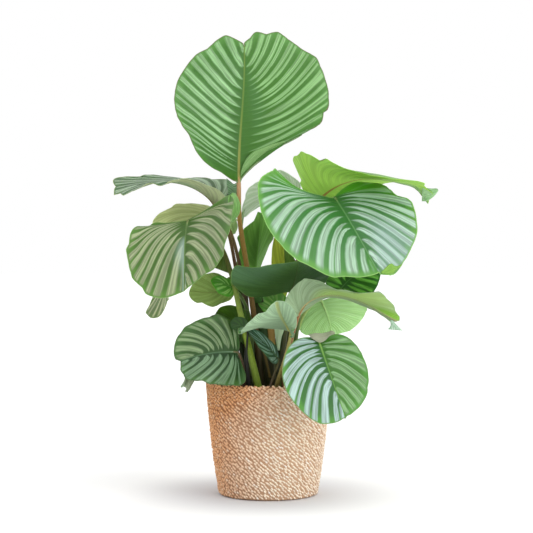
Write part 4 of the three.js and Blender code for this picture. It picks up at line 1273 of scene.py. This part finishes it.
def ribbed(nodes, bands, colours, colour, *keys):
    """Paints the midrib, which fades into the blade's colour, and the margin's thin line. The keys name the
    colours of rib, blade and margin."""
    rib, blade, margin = (colours[key] for key in keys)
    base, tip = colours["rib_width"]
    width = nodes.line(bands["vein"], tip - base, base)
    further = srgb(*(0.5 * a + 0.5 * b for a, b in zip(rib, blade)))
    rib_colour = nodes.turn(srgb(*rib), further, bands["vein"], 0.2, 0.8)
    outer, inner = nodes.times(width, 0.58), nodes.times(width, 0.36)
    colour = nodes.turn(colour, rib_colour, bands["from_rib"], outer, inner)
    thin = colours["margin_width"]
    return nodes.turn(colour, srgb(*margin), bands["from_edge"], 1.4 * thin, 0.4 * thin)


def brighter(colour, factor):
    """A screen colour made brighter or darker, in linear values."""
    return srgb(*(min(factor * c, 255) for c in colour))


def upper_material(name, colours, seed, roughness):
    material, nodes, shader = finish_material(name + "_upper", roughness)
    bands = banded(nodes, colours, seed)

    def of_half(key, factor=1.0):
        left, right = (brighter(colours[k], factor) for k in (key, "right_" + key))
        return nodes.mix(bands["right"], left, right)

    deeper = nodes.turn(of_half("dark"), of_half("dark", 0.8), bands["streaks"], 0.35, 0.7, 0.0, 0.4)
    deeper = nodes.turn(deeper, of_half("dark", 0.82), bands["share"], 0.0, 0.3, 0.35, 0.0)
    at_edge = nodes.smooth(bands["from_edge"], 16.0, 4.0, 0.3, 1.0)
    outer = nodes.times(nodes.smooth(bands["share"], 0.55, 1.0), at_edge)
    deeper = nodes.mix(outer, deeper, srgb(*colours["edge"]))
    paler = nodes.turn(of_half("light", 1.1), of_half("light", 0.82), bands["streaks"], 0.38, 0.64)
    colour = nodes.mix(bands["light"], deeper, paler)
    blotch = nodes.noise(nodes.object_place(), 22.0)
    colour = nodes.turn(colour, of_half("dark", 0.7), blotch, 0.35, 0.75, 0.0, 0.14)
    colour = patched(nodes, colour, bands, colours["patches"])
    colour = ribbed(nodes, bands, colours, colour, "rib", "dark", "margin")
    coat(nodes, shader, colour, bands["streaks"], 0.3 * MM, 0.6)
    let_light_through(material, nodes, shader, colour, 0.25)
    return material


def under_material(name, colours, seed):
    material, nodes, shader = finish_material(name + "_under", 0.6, 0.3)
    bands = banded(nodes, colours, seed)
    pale, deep = srgb(*colours["under"]), srgb(*colours["under_dark"])
    colour = nodes.mix(nodes.line(bands["light"], -0.55, 0.6), pale, deep)
    fine_veins = nodes.math("SINE", nodes.times(bands["counted"], 6.2832 * 4))
    colour = nodes.turn(colour, deep, fine_veins, 0.1, 1.0, 0.0, 0.45)
    colour = nodes.turn(colour, brighter(colours["under"], 1.12), bands["streaks"], 0.3, 0.8, 0.0, 0.3)
    colour = patched(nodes, colour, bands, colours["under_patches"])
    colour = ribbed(nodes, bands, colours, colour, "under_rib", "under_dark", "under_margin")
    coat(nodes, shader, colour, fine_veins, 0.4 * MM, 0.7)
    let_light_through(material, nodes, shader, colour, 0.25)
    return material


def place_object(name, mesh, *materials):
    """A new object at the origin with its materials."""
    for material in materials:
        mesh.materials.append(material)
    piece = bpy.data.objects.new(name, mesh)
    bpy.context.scene.collection.objects.link(piece)
    return piece


def stand_for(piece, slot, *nodes):
    """Puts a piece under the root body and hides any solids that it replaces; its slot is not used."""
    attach(piece, "root")
    if nodes:
        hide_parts(*nodes)


def geometry_tree(name, sizes, counts):
    """A Geometry Nodes tree with named inputs: the tree, its helper and its input sockets by name."""
    tree = bpy.data.node_groups.new(name, "GeometryNodeTree")
    tree.interface.new_socket("Geometry", in_out="INPUT", socket_type="NodeSocketGeometry")
    tree.interface.new_socket("Geometry", in_out="OUTPUT", socket_type="NodeSocketGeometry")
    for kind, labels in (("Float", sizes), ("Int", counts), ("Material", ("Material",))):
        for label in labels:
            tree.interface.new_socket(label, in_out="INPUT", socket_type="NodeSocket" + kind)
    nodes = Nodes(tree)
    return tree, nodes, nodes.add("NodeGroupInput").outputs


def close_tree(nodes, geometry, material):
    """Ends a tree: real faces, smooth, with their material."""
    real = nodes.out("GeometryNodeRealizeInstances", {0: geometry})
    smooth = nodes.out("GeometryNodeSetShadeSmooth", {0: real})
    painted = nodes.out("GeometryNodeSetMaterial", {0: smooth, "Material": material})
    nodes.add("NodeGroupOutput", {0: painted})


def grown(name, carrier, tree, values):
    """What a tree makes from a carrier object, as a plain piece of its own; the carrier is removed."""
    modifier = carrier.modifiers.new("grow", "NODES")
    modifier.node_group = tree
    for item in tree.interface.items_tree:
        if item.in_out == "INPUT" and item.name in values:
            modifier[item.identifier] = values[item.name]
    graph = bpy.context.evaluated_depsgraph_get()
    grown_carrier = carrier.evaluated_get(graph)
    mesh = bpy.data.meshes.new_from_object(grown_carrier, preserve_all_data_layers=True, depsgraph=graph)
    bpy.data.objects.remove(carrier)
    if not mesh.polygons:
        raise RuntimeError(f"{name}: its node tree made no faces")
    mesh.name = name
    return place_object(name, mesh)


def line_object(name, points, radii=None):
    """A curve of one open spline through points in metres."""
    curve = bpy.data.curves.new(name, "CURVE")
    curve.dimensions = "3D"
    spline = curve.splines.new("POLY")
    spline.points.add(len(points) - 1)
    for i, point in enumerate(points):
        spline.points[i].co = (*point, 1)
        spline.points[i].radius = 1 if radii is None else radii[i]
    carrier = bpy.data.objects.new(name, curve)
    bpy.context.scene.collection.objects.link(carrier)
    return carrier


def lengths_along(line):
    """How far each point of a line is along it."""
    return np.concatenate([[0], np.cumsum(np.linalg.norm(np.diff(line, axis=0), axis=1))])


def smooth_line(points, step):
    """A centripetal Catmull-Rom line through points, sampled about every step."""
    points = [np.array(point, float) for point in points]
    points = [2 * points[0] - points[1], *points, 2 * points[-1] - points[-2]]
    line = []

    def between(a, b, ta, tb):
        return (a * (tb - t) + b * (t - ta)) / (tb - ta)

    for p0, p1, p2, p3 in zip(points, points[1:], points[2:], points[3:]):
        spans = [np.linalg.norm(b - a) ** 0.5 for a, b in ((p0, p1), (p1, p2), (p2, p3))]
        t0, t1, t2, t3 = np.cumsum([0] + spans)
        count = max(2, math.ceil(np.linalg.norm(p2 - p1) / step))
        for t in np.linspace(t1, t2, count, endpoint=False):
            first, middle, last = between(p0, p1, t0, t1), between(p1, p2, t1, t2), between(p2, p3, t2, t3)
            line.append(between(between(first, middle, t0, t2), between(middle, last, t1, t3), t1, t2))
    line.append(points[-2])
    return np.array(line)


def swept(nodes, curve, profile, scale):
    """A closed tube along a curve."""
    inputs = {0: curve, "Profile Curve": profile, "Scale": scale, "Fill Caps": True}
    return nodes.out("GeometryNodeCurveToMesh", inputs)


def stalk_tree():
    """Turns a curve into a ridged round stalk, with the share of its length kept as the attribute along."""
    tree, nodes, given = geometry_tree("stalk", ("Step", "Ridge"), ("Sides",))
    ridges = 7
    resampled = {0: given["Geometry"], "Length": given["Step"]}
    even = nodes.add("GeometryNodeResampleCurve", resampled, mode="LENGTH")
    factor = nodes.add("GeometryNodeSplineParameter").outputs["Factor"]
    marked = nodes.stored(even.outputs[0], "along", factor)
    ring = nodes.add("GeometryNodeCurvePrimitiveCircle", {"Resolution": given["Sides"], "Radius": 1.0})
    index = nodes.out("GeometryNodeInputIndex")
    turn = nodes.times(nodes.over(index, given["Sides"]), 2 * math.pi * ridges)
    swell = nodes.line(nodes.math("SINE", turn), given["Ridge"], 1.0)
    place = nodes.out("GeometryNodeInputPosition")
    moved = nodes.out("ShaderNodeVectorMath", {0: place, "Scale": swell}, operation="SCALE")
    profile = nodes.out("GeometryNodeSetPosition", {0: ring.outputs[0], "Position": moved})
    radius = nodes.out("GeometryNodeInputRadius")
    close_tree(nodes, swept(nodes, marked, profile, radius), given["Material"])
    return tree


def stalk_material(name, stops):
    material, nodes, shader = finish_material(name + "_stalk", 0.48, 0.4)
    share = nodes.attribute("along")
    place = nodes.stretched(nodes.object_place(), (1.0, 1.0, 0.18))
    fibre = nodes.noise(place, 900.0, 3.0)
    wander = nodes.noise(place, 60.0)
    ramp = nodes.add("ShaderNodeValToRGB", {0: nodes.line(nodes.minus(wander, 0.5), 0.12, share)})
    elements = ramp.color_ramp.elements
    while len(elements) < len(stops):
        elements.new(0.5)
    for element, (position, colour) in zip(elements, stops):
        element.position = position
        element.color = srgb(*colour)
    colour = nodes.turn(ramp.outputs[0], srgb(60, 46, 30), fibre, 0.42, 0.7, 0.0, 0.35)
    coat(nodes, shader, colour, fibre, 0.4 * MM, 0.5)
    return material


def chance(nodes, given, number, low, high, kind="FLOAT"):
    """A random value for each point. Its number, added to the tree's seed, tells it from the others."""
    low_socket, high_socket, output = {"FLOAT": (2, 3, 1), "FLOAT_VECTOR": (0, 1, 0)}[kind]
    inputs = {low_socket: low, high_socket: high, "Seed": nodes.plus(given["Seed"], number)}
    return nodes.add("FunctionNodeRandomValue", inputs, data_type=kind).outputs[output]


def strand_shape(nodes, half_width, drop, thick):
    """One strand of the weave: a thin arc that is thickest in its middle, marked with how far it faces up."""
    sunk = nodes.times(thick, -0.22)
    arc_inputs = {
        "Resolution": 3,
        "Start": nodes.combine(half_width, sunk, drop),
        "Middle": nodes.combine(0.0, nodes.times(thick, 0.4), 0.0),
        "End": nodes.combine(nodes.times(half_width, -1.0), sunk, nodes.times(drop, -1.0)),
    }
    arc = nodes.out("GeometryNodeCurveQuadraticBezier", arc_inputs)
    factor = nodes.add("GeometryNodeSplineParameter").outputs["Factor"]
    taper = nodes.line(nodes.math("SINE", nodes.times(factor, math.pi)), 0.62, 0.38)
    ring = nodes.out("GeometryNodeCurvePrimitiveCircle", {"Resolution": 5, "Radius": 0.5})
    strand = swept(nodes, arc, ring, nodes.times(taper, thick))
    # How far each point faces up, less towards the strand's tucked ends; the straw material paints shade
    # where it is low.
    reach = nodes.math("ABSOLUTE", nodes.split(nodes.out("GeometryNodeInputPosition"))[0])
    ends = nodes.math("POWER", nodes.math("MINIMUM", nodes.over(reach, half_width), 1.0), 3.0)
    above = nodes.minus(nodes.split(nodes.out("GeometryNodeInputNormal"))[2], ends)
    return nodes.stored(strand, "above", above)


def weave_tree():
    """Lays rows of short slanting strands round an upright axis, along a profile curve in the XZ plane."""
    sizes = ("Course", "Strand", "Slant", "Radius")
    tree, nodes, given = geometry_tree("weave", sizes, ("Stitches", "Seed"))
    length = nodes.out("GeometryNodeCurveLength", {0: given["Geometry"]})
    courses = nodes.math("ROUND", nodes.over(length, given["Course"]))
    stitches = given["Stitches"]
    cloud = nodes.out("GeometryNodePoints", {"Count": nodes.times(courses, stitches)})
    index = nodes.out("GeometryNodeInputIndex")
    course = nodes.math("FLOOR", nodes.over(nodes.plus(index, 0.5), stitches))
    stitch = nodes.minus(index, nodes.times(course, stitches))
    height_jitter = chance(nodes, given, 1, -0.4, 0.4)
    up = nodes.over(nodes.plus(course, nodes.plus(0.5, height_jitter)), courses)
    sample = nodes.add("GeometryNodeSampleCurve", {0: given["Geometry"], "Factor": up}, mode="FACTOR")
    profile = nodes.split(sample.outputs["Position"])
    run = nodes.split(sample.outputs["Tangent"])
    stitch_jitter = chance(nodes, given, 2, -0.24, 0.24)
    shifted = nodes.plus(stitch, nodes.plus(nodes.times(course, 0.5), stitch_jitter))
    angle = nodes.times(nodes.over(shifted, stitches), 2 * math.pi)
    cosine, sine = nodes.math("COSINE", angle), nodes.math("SINE", angle)
    bulge = nodes.plus(profile[0], chance(nodes, given, 3, -0.5 * MM, 0.5 * MM))

    def turned(radial, height):
        return nodes.combine(nodes.times(radial, cosine), nodes.times(radial, sine), height)

    facing = turned(run[2], nodes.times(run[0], -1.0))
    rising = turned(run[0], run[2])
    laid = nodes.out("GeometryNodeSetPosition", {0: cloud, "Position": turned(bulge, profile[2])})
    axes = {0: rising, 1: facing}
    turn = nodes.out("FunctionNodeAxesToRotation", axes, primary_axis="Z", secondary_axis="Y")
    half_width = nodes.times(nodes.over(given["Radius"], stitches), 2 * math.pi * 0.34)
    strand = strand_shape(nodes, half_width, nodes.times(given["Slant"], 0.5), given["Strand"])
    nearer = nodes.times(nodes.over(profile[0], given["Radius"]), chance(nodes, given, 4, 0.9, 1.12))
    size = nodes.combine(nearer, chance(nodes, given, 5, 0.8, 1.15), chance(nodes, given, 6, 0.95, 1.35))
    placed = {0: laid, "Instance": strand, "Rotation": turn, "Scale": size}
    woven = nodes.out("GeometryNodeInstanceOnPoints", placed)
    toned = nodes.stored(woven, "tone", chance(nodes, given, 7, 0.0, 1.0), "INSTANCE")
    close_tree(nodes, toned, given["Material"])
    return tree


def crumb_tree():
    """Scatters small rough crumbs over a surface."""
    tree, nodes, given = geometry_tree("crumbs", ("Density", "Size"), ("Seed",))
    surface = {0: given["Geometry"], "Density": given["Density"], "Seed": given["Seed"]}
    spread = nodes.out("GeometryNodeDistributePointsOnFaces", surface)
    ball = nodes.out("GeometryNodeMeshIcoSphere", {"Radius": 1.0, "Subdivisions": 1})
    offset = chance(nodes, given, 1, (-0.3,) * 3, (0.3,) * 3, "FLOAT_VECTOR")
    dented = nodes.out("GeometryNodeSetPosition", {0: ball, "Offset": offset})
    angles = chance(nodes, given, 2, (0,) * 3, (6.28,) * 3, "FLOAT_VECTOR")
    spin = nodes.out("FunctionNodeEulerToRotation", {0: angles})
    share = chance(nodes, given, 3, 0.25, 1.0)
    size = nodes.times(given["Size"], nodes.times(share, share))
    placed = {0: spread, "Instance": dented, "Rotation": spin, "Scale": nodes.combine(size, size, size)}
    scattered = nodes.out("GeometryNodeInstanceOnPoints", placed)
    toned = nodes.stored(scattered, "tone", chance(nodes, given, 4, 0.0, 1.0), "INSTANCE")
    close_tree(nodes, toned, given["Material"])
    return tree


def turned_mesh(name, outline, sides=96):
    """A closed mesh turned round the upright axis from an outline of (radius, height) in metres."""
    points, rings = [], []
    for radius, height in outline:
        if radius < 1e-6:
            rings.append([len(points)] * sides)
            points.append((0, 0, height))
        else:
            rings.append([len(points) + i for i in range(sides)])
            turns = [2 * math.pi * i / sides for i in range(sides)]
            points += [(radius * math.cos(turn), radius * math.sin(turn), height) for turn in turns]
    faces = []
    for low, high in zip(rings, rings[1:]):
        for i in range(sides):
            j = (i + 1) % sides
            face = list(dict.fromkeys((low[i], low[j], high[j], high[i])))
            if len(face) > 2:
                faces.append(face)
    mesh = bpy.data.meshes.new(name)
    mesh.from_pydata(points, [], faces)
    mesh.polygons.foreach_set("use_smooth", [True] * len(faces))
    mesh.update()
    return mesh


def straw_material(name, settings, woven):
    """Seagrass with fine fibres, under painted shade and light: darker and warmer at the left, away from the
    light, and at the top, in the leaves' painted shadow, and paler at the right, where the light falls. Woven
    strands have their own tones, with a few near-white ones on the lit right, and painted shade where they
    face down or are tucked in; the shell behind and inside them is darkened all over as painted shade in the
    gaps and the hollow."""
    material, nodes, shader = finish_material(name, 0.75, 0.25)
    place = nodes.object_place()
    side, _, height = nodes.split(place)
    # Painted shadow of the leaves: near the top the basket turns towards its darker, warmer colour.
    side = nodes.minus(side, nodes.smooth(height, 0.1, 0.19, 0.0, 0.055))
    fibre = nodes.noise(nodes.stretched(place, (1.0, 1.0, 2.2)), 1400.0, 3.0)
    # Painted shade and light: shade is 0 at the darker, warmer left, away from the light, and 1 at the paler,
    # lit right.
    shade = nodes.smooth(nodes.line(nodes.noise(place, 30.0, 3.0), 0.04, side), -0.085, 0.04)
    colour = nodes.mix(shade, tuple(settings.warm), tuple(settings.pale))
    if woven:
        tone = nodes.attribute("tone")
        colour = nodes.turn(colour, srgb(176, 122, 84), tone, 0.0, 0.5, 0.3, 0.0)
        colour = nodes.turn(colour, srgb(252, 232, 204), tone, 0.72, 0.9, 0.0, 0.35)
        # A few random strands turn near white, only on the painted lit side.
        white = nodes.times(shade, nodes.smooth(tone, 0.93, 0.95))
        colour = nodes.mix(white, colour, srgb(255, 250, 240))
        # Painted shade on the strands where they face down or are tucked in at their ends.
        underside_shade = nodes.mix(shade, srgb(130, 74, 38), srgb(206, 162, 124))
        colour = nodes.turn(colour, underside_shade, nodes.attribute("above"), -0.8, 0.3, 0.62, 0.0)
    else:
        # Painted shade: the shell, seen in the gaps between strands and inside the basket, is darkened all
        # over.
        colour = nodes.mix(0.8, colour, nodes.mix(shade, srgb(108, 56, 22), srgb(176, 128, 86)))
    colour = nodes.turn(colour, srgb(176, 126, 90), fibre, 0.4, 0.7, 0.0, 0.3)
    coat(nodes, shader, colour, fibre, 0.5 * MM, 0.6)
    return material


def wall_radius(height):
    """The outside of the basket's wall, in metres: it widens upwards and bulges a little."""
    share = height / BASKET_HEIGHT
    return (BASKET_FOOT + BASKET_FLARE * share + BASKET_BULGE * math.sin(math.pi * share)) * MM


def weave_profile(strand):
    """The line that the basket's courses follow: up the outside, over the rim and down the inside."""
    inset = strand / 2 - 0.2 * MM
    rim = 1.2 * MM
    top = BASKET_HEIGHT - strand / 2
    inner_wall = BASKET_WALL - inset
    turn_radius = (inner_wall - inset) / 2
    middle = wall_radius(top) - (inset + inner_wall) / 2
    outside = [(wall_radius(z) - inset, z) for z in np.linspace(2.4 * MM, top - rim, 60)]
    angles = np.linspace(0.3, math.pi - 0.3, 7)
    over = [(middle + turn_radius * math.cos(a), top - rim + rim * math.sin(a)) for a in angles]
    inside = [(wall_radius(z) - inner_wall, z) for z in np.linspace(top - rim, SOIL_TOP - 0.3 * MM, 10)]
    return [(radius, 0, height) for radius, height in (*outside, *over, *inside)]


def shell_outline():
    """The basket's closed shell behind the strands, ridged inside and grooved under its foot."""
    rows, between = 36, 5
    heights = np.linspace(3 * MM, BASKET_HEIGHT - 2.4 * MM, rows * between + 1)
    outside = [(wall_radius(z) - 1.7 * MM, z) for z in heights[::between]]
    ridges = [0.35 * MM * math.cos(2 * math.pi * i / between) for i in range(len(heights))]
    inside = [(wall_radius(z) - 3.3 * MM + ridge, z) for z, ridge in zip(heights, ridges)][::-1]
    radii = np.arange(1.3, 74, 1.3)
    foot = [(r * MM, (0.5 + 0.4 * math.cos(2 * math.pi * r / 5.2)) * MM) for r in radii]
    floor = [(74 * MM, 4 * MM), (0, 4 * MM)]
    return [(0, 0.4 * MM), *foot, (77 * MM, 1.2 * MM), *outside, *inside, *floor]


def pot_wall(height, inset):
    """The radius of the nursery pot's wall under its rim, less an inset in millimetres."""
    share = (height - POT_LOW.z) / (POT_RIM_FOOT - POT_LOW.z)
    return (POT_FOOT + POT_FLARE * share - inset) * MM


def pot_outline():
    """The nursery pot from its floor's middle up the outside, over the rim and down the inside."""
    low, high, under = POT_LOW.z, POT_HIGH.z, POT_RIM_FOOT
    floor, rounding = low + 1.6 * MM, 0.8 * MM
    foot = [(0, low), (62.5 * MM, low), (63.7 * MM, low + 0.3 * MM), (pot_wall(floor, 0), floor)]
    outside = [(pot_wall(z, 0), z) for z in np.linspace(low + 20 * MM, under - 1 * MM, 8)]
    rim = [
        (80.2 * MM, under), (83.2 * MM, under), (84 * MM, under + rounding), (84 * MM, high - rounding),
        (83.2 * MM, high), (80.8 * MM, high), (80 * MM, high - rounding), (79.4 * MM, under + 2 * MM),
        (78.4 * MM, under),
    ]
    inside = [(pot_wall(z, 1.6), z) for z in np.linspace(under - 2 * MM, low + 2.4 * MM, 6)]
    return [*foot, *outside, *rim, *inside, (61 * MM, floor), (0, floor)]


def plastic_material(settings):
    material, nodes, shader = finish_material("pot_plastic", 0.5)
    grain = nodes.noise(nodes.object_place(), 700.0)
    colour = nodes.turn(tuple(settings.plastic), srgb(64, 62, 60), grain, 0.4, 0.7, 0.0, 0.3)
    coat(nodes, shader, colour, grain, 0.2 * MM, 0.4)
    return material


def earth_material(settings):
    material, nodes, shader = finish_material("earth", 0.95, 0.2)
    grain = nodes.noise(nodes.object_place(), 260.0, 5.0, 0.7)
    colour = nodes.turn(tuple(settings.earth), srgb(84, 62, 44), grain, 0.35, 0.7)
    colour = nodes.turn(colour, srgb(190, 180, 165), nodes.attribute("tone"), 0.95, 0.96, 0.0, 0.8)
    coat(nodes, shader, colour, grain, 2 * MM, 0.8)
    return material


def soil_mesh(surface):
    """The soil in the pot, domed and uneven where it stands above the surface height."""
    low = POT_LOW.z + 2 * MM
    bed_outline = [(0, low), (62 * MM, low), (pot_wall(POT_RIM_FOOT - 1 * MM, 2), POT_RIM_FOOT - 1 * MM)]
    edge = 78.0
    rings = [(r * MM, SOIL_TOP + (4 - 5 * (r / edge) ** 2) * MM) for r in np.linspace(edge, 0, 26)]
    bed = turned_mesh("soil_bed", [*bed_outline, *rings])
    for vertex in bed.vertices:
        if vertex.co.z > surface:
            vertex.co.z += 1.6 * MM * noise.fractal(vertex.co * 120, 1.0, 2.0, 4)
    bed.update()
    return bed


def stalk_line(leaf):
    """A stalk's middle line, from below the soil to under its midrib, and its radii, in millimetres."""
    top, bottom = leaf.get("radius", (2.3, 4.2))
    x, y = leaf["root"]
    soil = SOIL_TOP / MM
    point, _, up, _ = Midrib(leaf).at(np.array([0.0, 9.0, STALK_TAIL]))
    under = point - up * np.array([[0.4], [1.2], [1.0]])
    path = smooth_line([(x, y, soil - 22), (x, y, soil + 4), *leaf["via"], *under], 4)
    gone = lengths_along(path)
    share = np.clip(gone / (gone[-1] - STALK_TAIL), 0, 1)
    radius = bottom + (top - bottom) * share + 0.8 * np.exp(-((share / 0.25) ** 2))
    return path, radius * np.clip((gone[-1] - gone) / STALK_TAIL, 0.25, 1) ** 0.6


class CALATHEA_OT_camera(bpy.types.Operator):
    """Sets the camera where the picture was taken from"""

    bl_idname = "calathea.camera"
    bl_label = "Camera"

    def execute(self, context):
        data = bpy.data.cameras.new("camera")
        data.lens = context.scene.calathea_stage.lens
        data.sensor_width = 36
        camera = bpy.data.objects.new("camera", data)
        camera.location = CAMERA_PLACE
        camera.rotation_euler = Euler((math.radians(90), 0, 0))
        context.scene.collection.objects.link(camera)
        context.scene.camera = camera
        return {"FINISHED"}


class CALATHEA_OT_blades(bpy.types.Operator):
    """Makes the striped leaf blades"""

    bl_idname = "calathea.blades"
    bl_label = "Leaf blades"

    def execute(self, context):
        settings = context.scene.calathea_plant
        for number, (name, leaf) in enumerate(LEAVES.items()):
            colours = LOOKS[name]
            seed = 3.7 * number
            sides = upper_material(name, colours, seed, settings.gloss), under_material(name, colours, seed)
            piece = place_object(name + "_leaf", blade_mesh(name, leaf, colours, settings), *sides)
            stand_for(piece, slot_of(name, BLADE_SLOTS, "leaf_striped"), name + "_blade")
        return {"FINISHED"}


class CALATHEA_OT_folds(bpy.types.Operator):
    """Makes the folded and rolled parts of leaves, the sheaths among the stalks and the dark sheets of
    painted shade behind them
    """

    bl_idname = "calathea.folds"
    bl_label = "Folds and sheaths"

    def execute(self, context):
        thickness = context.scene.calathea_plant.thickness
        for name, fold in FOLDS.items():
            piece = place_object(name, fold_mesh(name, fold, thickness), fold_material(name, fold))
            stand_for(piece, fold["slot"])
        return {"FINISHED"}


class CALATHEA_OT_stalks(bpy.types.Operator):
    """Makes the stalks, each running on under its blade's midrib"""

    bl_idname = "calathea.stalks"
    bl_label = "Stalks"

    def execute(self, context):
        tree = stalk_tree()
        values = {"Step": 4 * MM, "Sides": 21, "Ridge": context.scene.calathea_plant.stalk_ridges}
        for name, leaf in LEAVES.items():
            path, radius = stalk_line(leaf)
            carrier = line_object(name, path * MM, radius * MM)
            values["Material"] = stalk_material(name, STALK_COLOURS[name])
            piece = grown(name + "_petiole", carrier, tree, values)
            stand_for(piece, slot_of(name, STALK_SLOTS, "stalk_green"), name + "_stalk")
        return {"FINISHED"}


class CALATHEA_OT_basket(bpy.types.Operator):
    """Weaves the basket over its shell"""

    bl_idname = "calathea.basket"
    bl_label = "Basket"

    def execute(self, context):
        settings = context.scene.calathea_basket
        values = {
            "Course": settings.course, "Stitches": settings.stitches, "Strand": settings.strand,
            "Slant": settings.slant, "Radius": wall_radius(BASKET_HEIGHT), "Seed": settings.seed,
            "Material": straw_material("seagrass", settings, True),
        }
        carrier = line_object("weave", weave_profile(settings.strand))
        weave = grown("basket_weave", carrier, weave_tree(), values)
        stand_for(weave, "basket_weave", "basket")
        inside = straw_material("seagrass_in_shade", settings, False)
        shell = place_object("basket_shell", turned_mesh("basket_shell", shell_outline()), inside)
        stand_for(shell, "basket_weave")
        return {"FINISHED"}


class CALATHEA_OT_pot(bpy.types.Operator):
    """Makes the nursery pot, the soil in it and the soil's crumbs"""

    bl_idname = "calathea.pot"
    bl_label = "Pot and soil"

    def execute(self, context):
        settings = context.scene.calathea_pot
        pot = place_object("pot", turned_mesh("pot", pot_outline()), plastic_material(settings))
        stand_for(pot, "pot_plastic", "nursery_pot")

        surface = POT_RIM_FOOT + 1 * MM
        earth = earth_material(settings)
        bed = soil_mesh(surface)
        soil = place_object("soil_bed", bed, earth)
        top_faces = [list(p.vertices) for p in bed.polygons if p.center.z > surface and p.normal.z > 0.5]
        top = bpy.data.meshes.new("soil_top")
        top.from_pydata([tuple(v.co) for v in bed.vertices], [], top_faces)
        values = {
            "Density": settings.crumbs, "Size": settings.crumb, "Seed": settings.seed, "Material": earth,
        }
        crumbs = grown("soil_crumbs", place_object("soil_top", top), crumb_tree(), values)
        stand_for(soil, "soil", "soil")
        stand_for(crumbs, "soil")
        return {"FINISHED"}


def add_sun(name, strength, spread, direction):
    """A soft distant light: its spread in degrees, and the way that it shines."""
    sun = bpy.data.lights.new(name, "SUN")
    sun.energy = strength
    sun.angle = math.radians(spread)
    light = bpy.data.objects.new(name, sun)
    light.rotation_euler = Vector(direction).to_track_quat("-Z", "Y").to_euler()
    bpy.context.scene.collection.objects.link(light)


def floor_material():
    """A white floor with a gentle shade under the basket."""
    material, nodes, shader = finish_material("floor_white", 0.9, 0.0)
    flat = nodes.stretched(nodes.object_place(), (1.0, 1.0, 0.0))
    away = nodes.add("ShaderNodeVectorMath", {0: flat}, operation="LENGTH").outputs["Value"]
    shade = nodes.turn((0.74, 0.75, 0.78, 1), (1, 1, 1, 1), away, 0.08, 0.26)
    nodes.feed(shader.inputs["Base Color"], shade)
    return material


class CALATHEA_OT_stage(bpy.types.Operator):
    """Sets the white floor, the even room light and the two soft lights"""

    bl_idname = "calathea.stage"
    bl_label = "Stage"

    def execute(self, context):
        settings = context.scene.calathea_stage
        context.scene.view_settings.view_transform = "Standard"
        world = bpy.data.worlds.new("room")
        world.use_nodes = True
        background = world.node_tree.nodes["Background"]
        background.inputs["Color"].default_value = (1, 1, 1, 1)
        background.inputs["Strength"].default_value = settings.sky
        context.scene.world = world
        floor = bpy.data.meshes.new("floor")
        corners = [(x * FLOOR_REACH, y * FLOOR_REACH, 0) for x, y in ((-1, -1), (1, -1), (1, 1), (-1, 1))]
        floor.from_pydata(corners, [], [(0, 1, 2, 3)])
        place_object("floor", floor, floor_material())
        add_sun("main_light", settings.key, 50, (-0.55, 0.5, -1.0))
        add_sun("side_light", settings.side, 40, (-0.8, 0.6, -0.12))
        return {"FINISHED"}


class CALATHEA_PT_panel(bpy.types.Panel):
    """Lists the pieces in the order that they are made"""

    bl_idname = "CALATHEA_PT_panel"
    bl_label = "Calathea"
    bl_space_type = "VIEW_3D"
    bl_region_type = "UI"
    bl_category = "Calathea"

    def draw(self, context):
        for operator in OPERATORS:
            self.layout.operator(operator.bl_idname)
        for group in SETTINGS:
            settings = getattr(context.scene, group)
            box = self.layout.box()
            for name in settings.__annotations__:
                box.prop(settings, name)


SETTINGS = {
    "calathea_plant": PlantSettings,
    "calathea_basket": BasketSettings,
    "calathea_pot": PotSettings,
    "calathea_stage": StageSettings,
}
OPERATORS = (
    CALATHEA_OT_camera,
    CALATHEA_OT_blades,
    CALATHEA_OT_folds,
    CALATHEA_OT_stalks,
    CALATHEA_OT_basket,
    CALATHEA_OT_pot,
    CALATHEA_OT_stage,
)


def register():
    for kind in (*SETTINGS.values(), *OPERATORS, CALATHEA_PT_panel):
        bpy.utils.register_class(kind)
    for name, kind in SETTINGS.items():
        setattr(bpy.types.Scene, name, bpy.props.PointerProperty(type=kind))


def unregister():
    for name in SETTINGS:
        delattr(bpy.types.Scene, name)
    for kind in reversed((*SETTINGS.values(), *OPERATORS, CALATHEA_PT_panel)):
        bpy.utils.unregister_class(kind)


def main():
    register()
    bpy.ops.calathea.camera()
    bpy.ops.calathea.blades()
    bpy.ops.calathea.folds()
    bpy.ops.calathea.stalks()
    bpy.ops.calathea.basket()
    bpy.ops.calathea.pot()
    bpy.ops.calathea.stage()


if __name__ == "__main__":
    main()
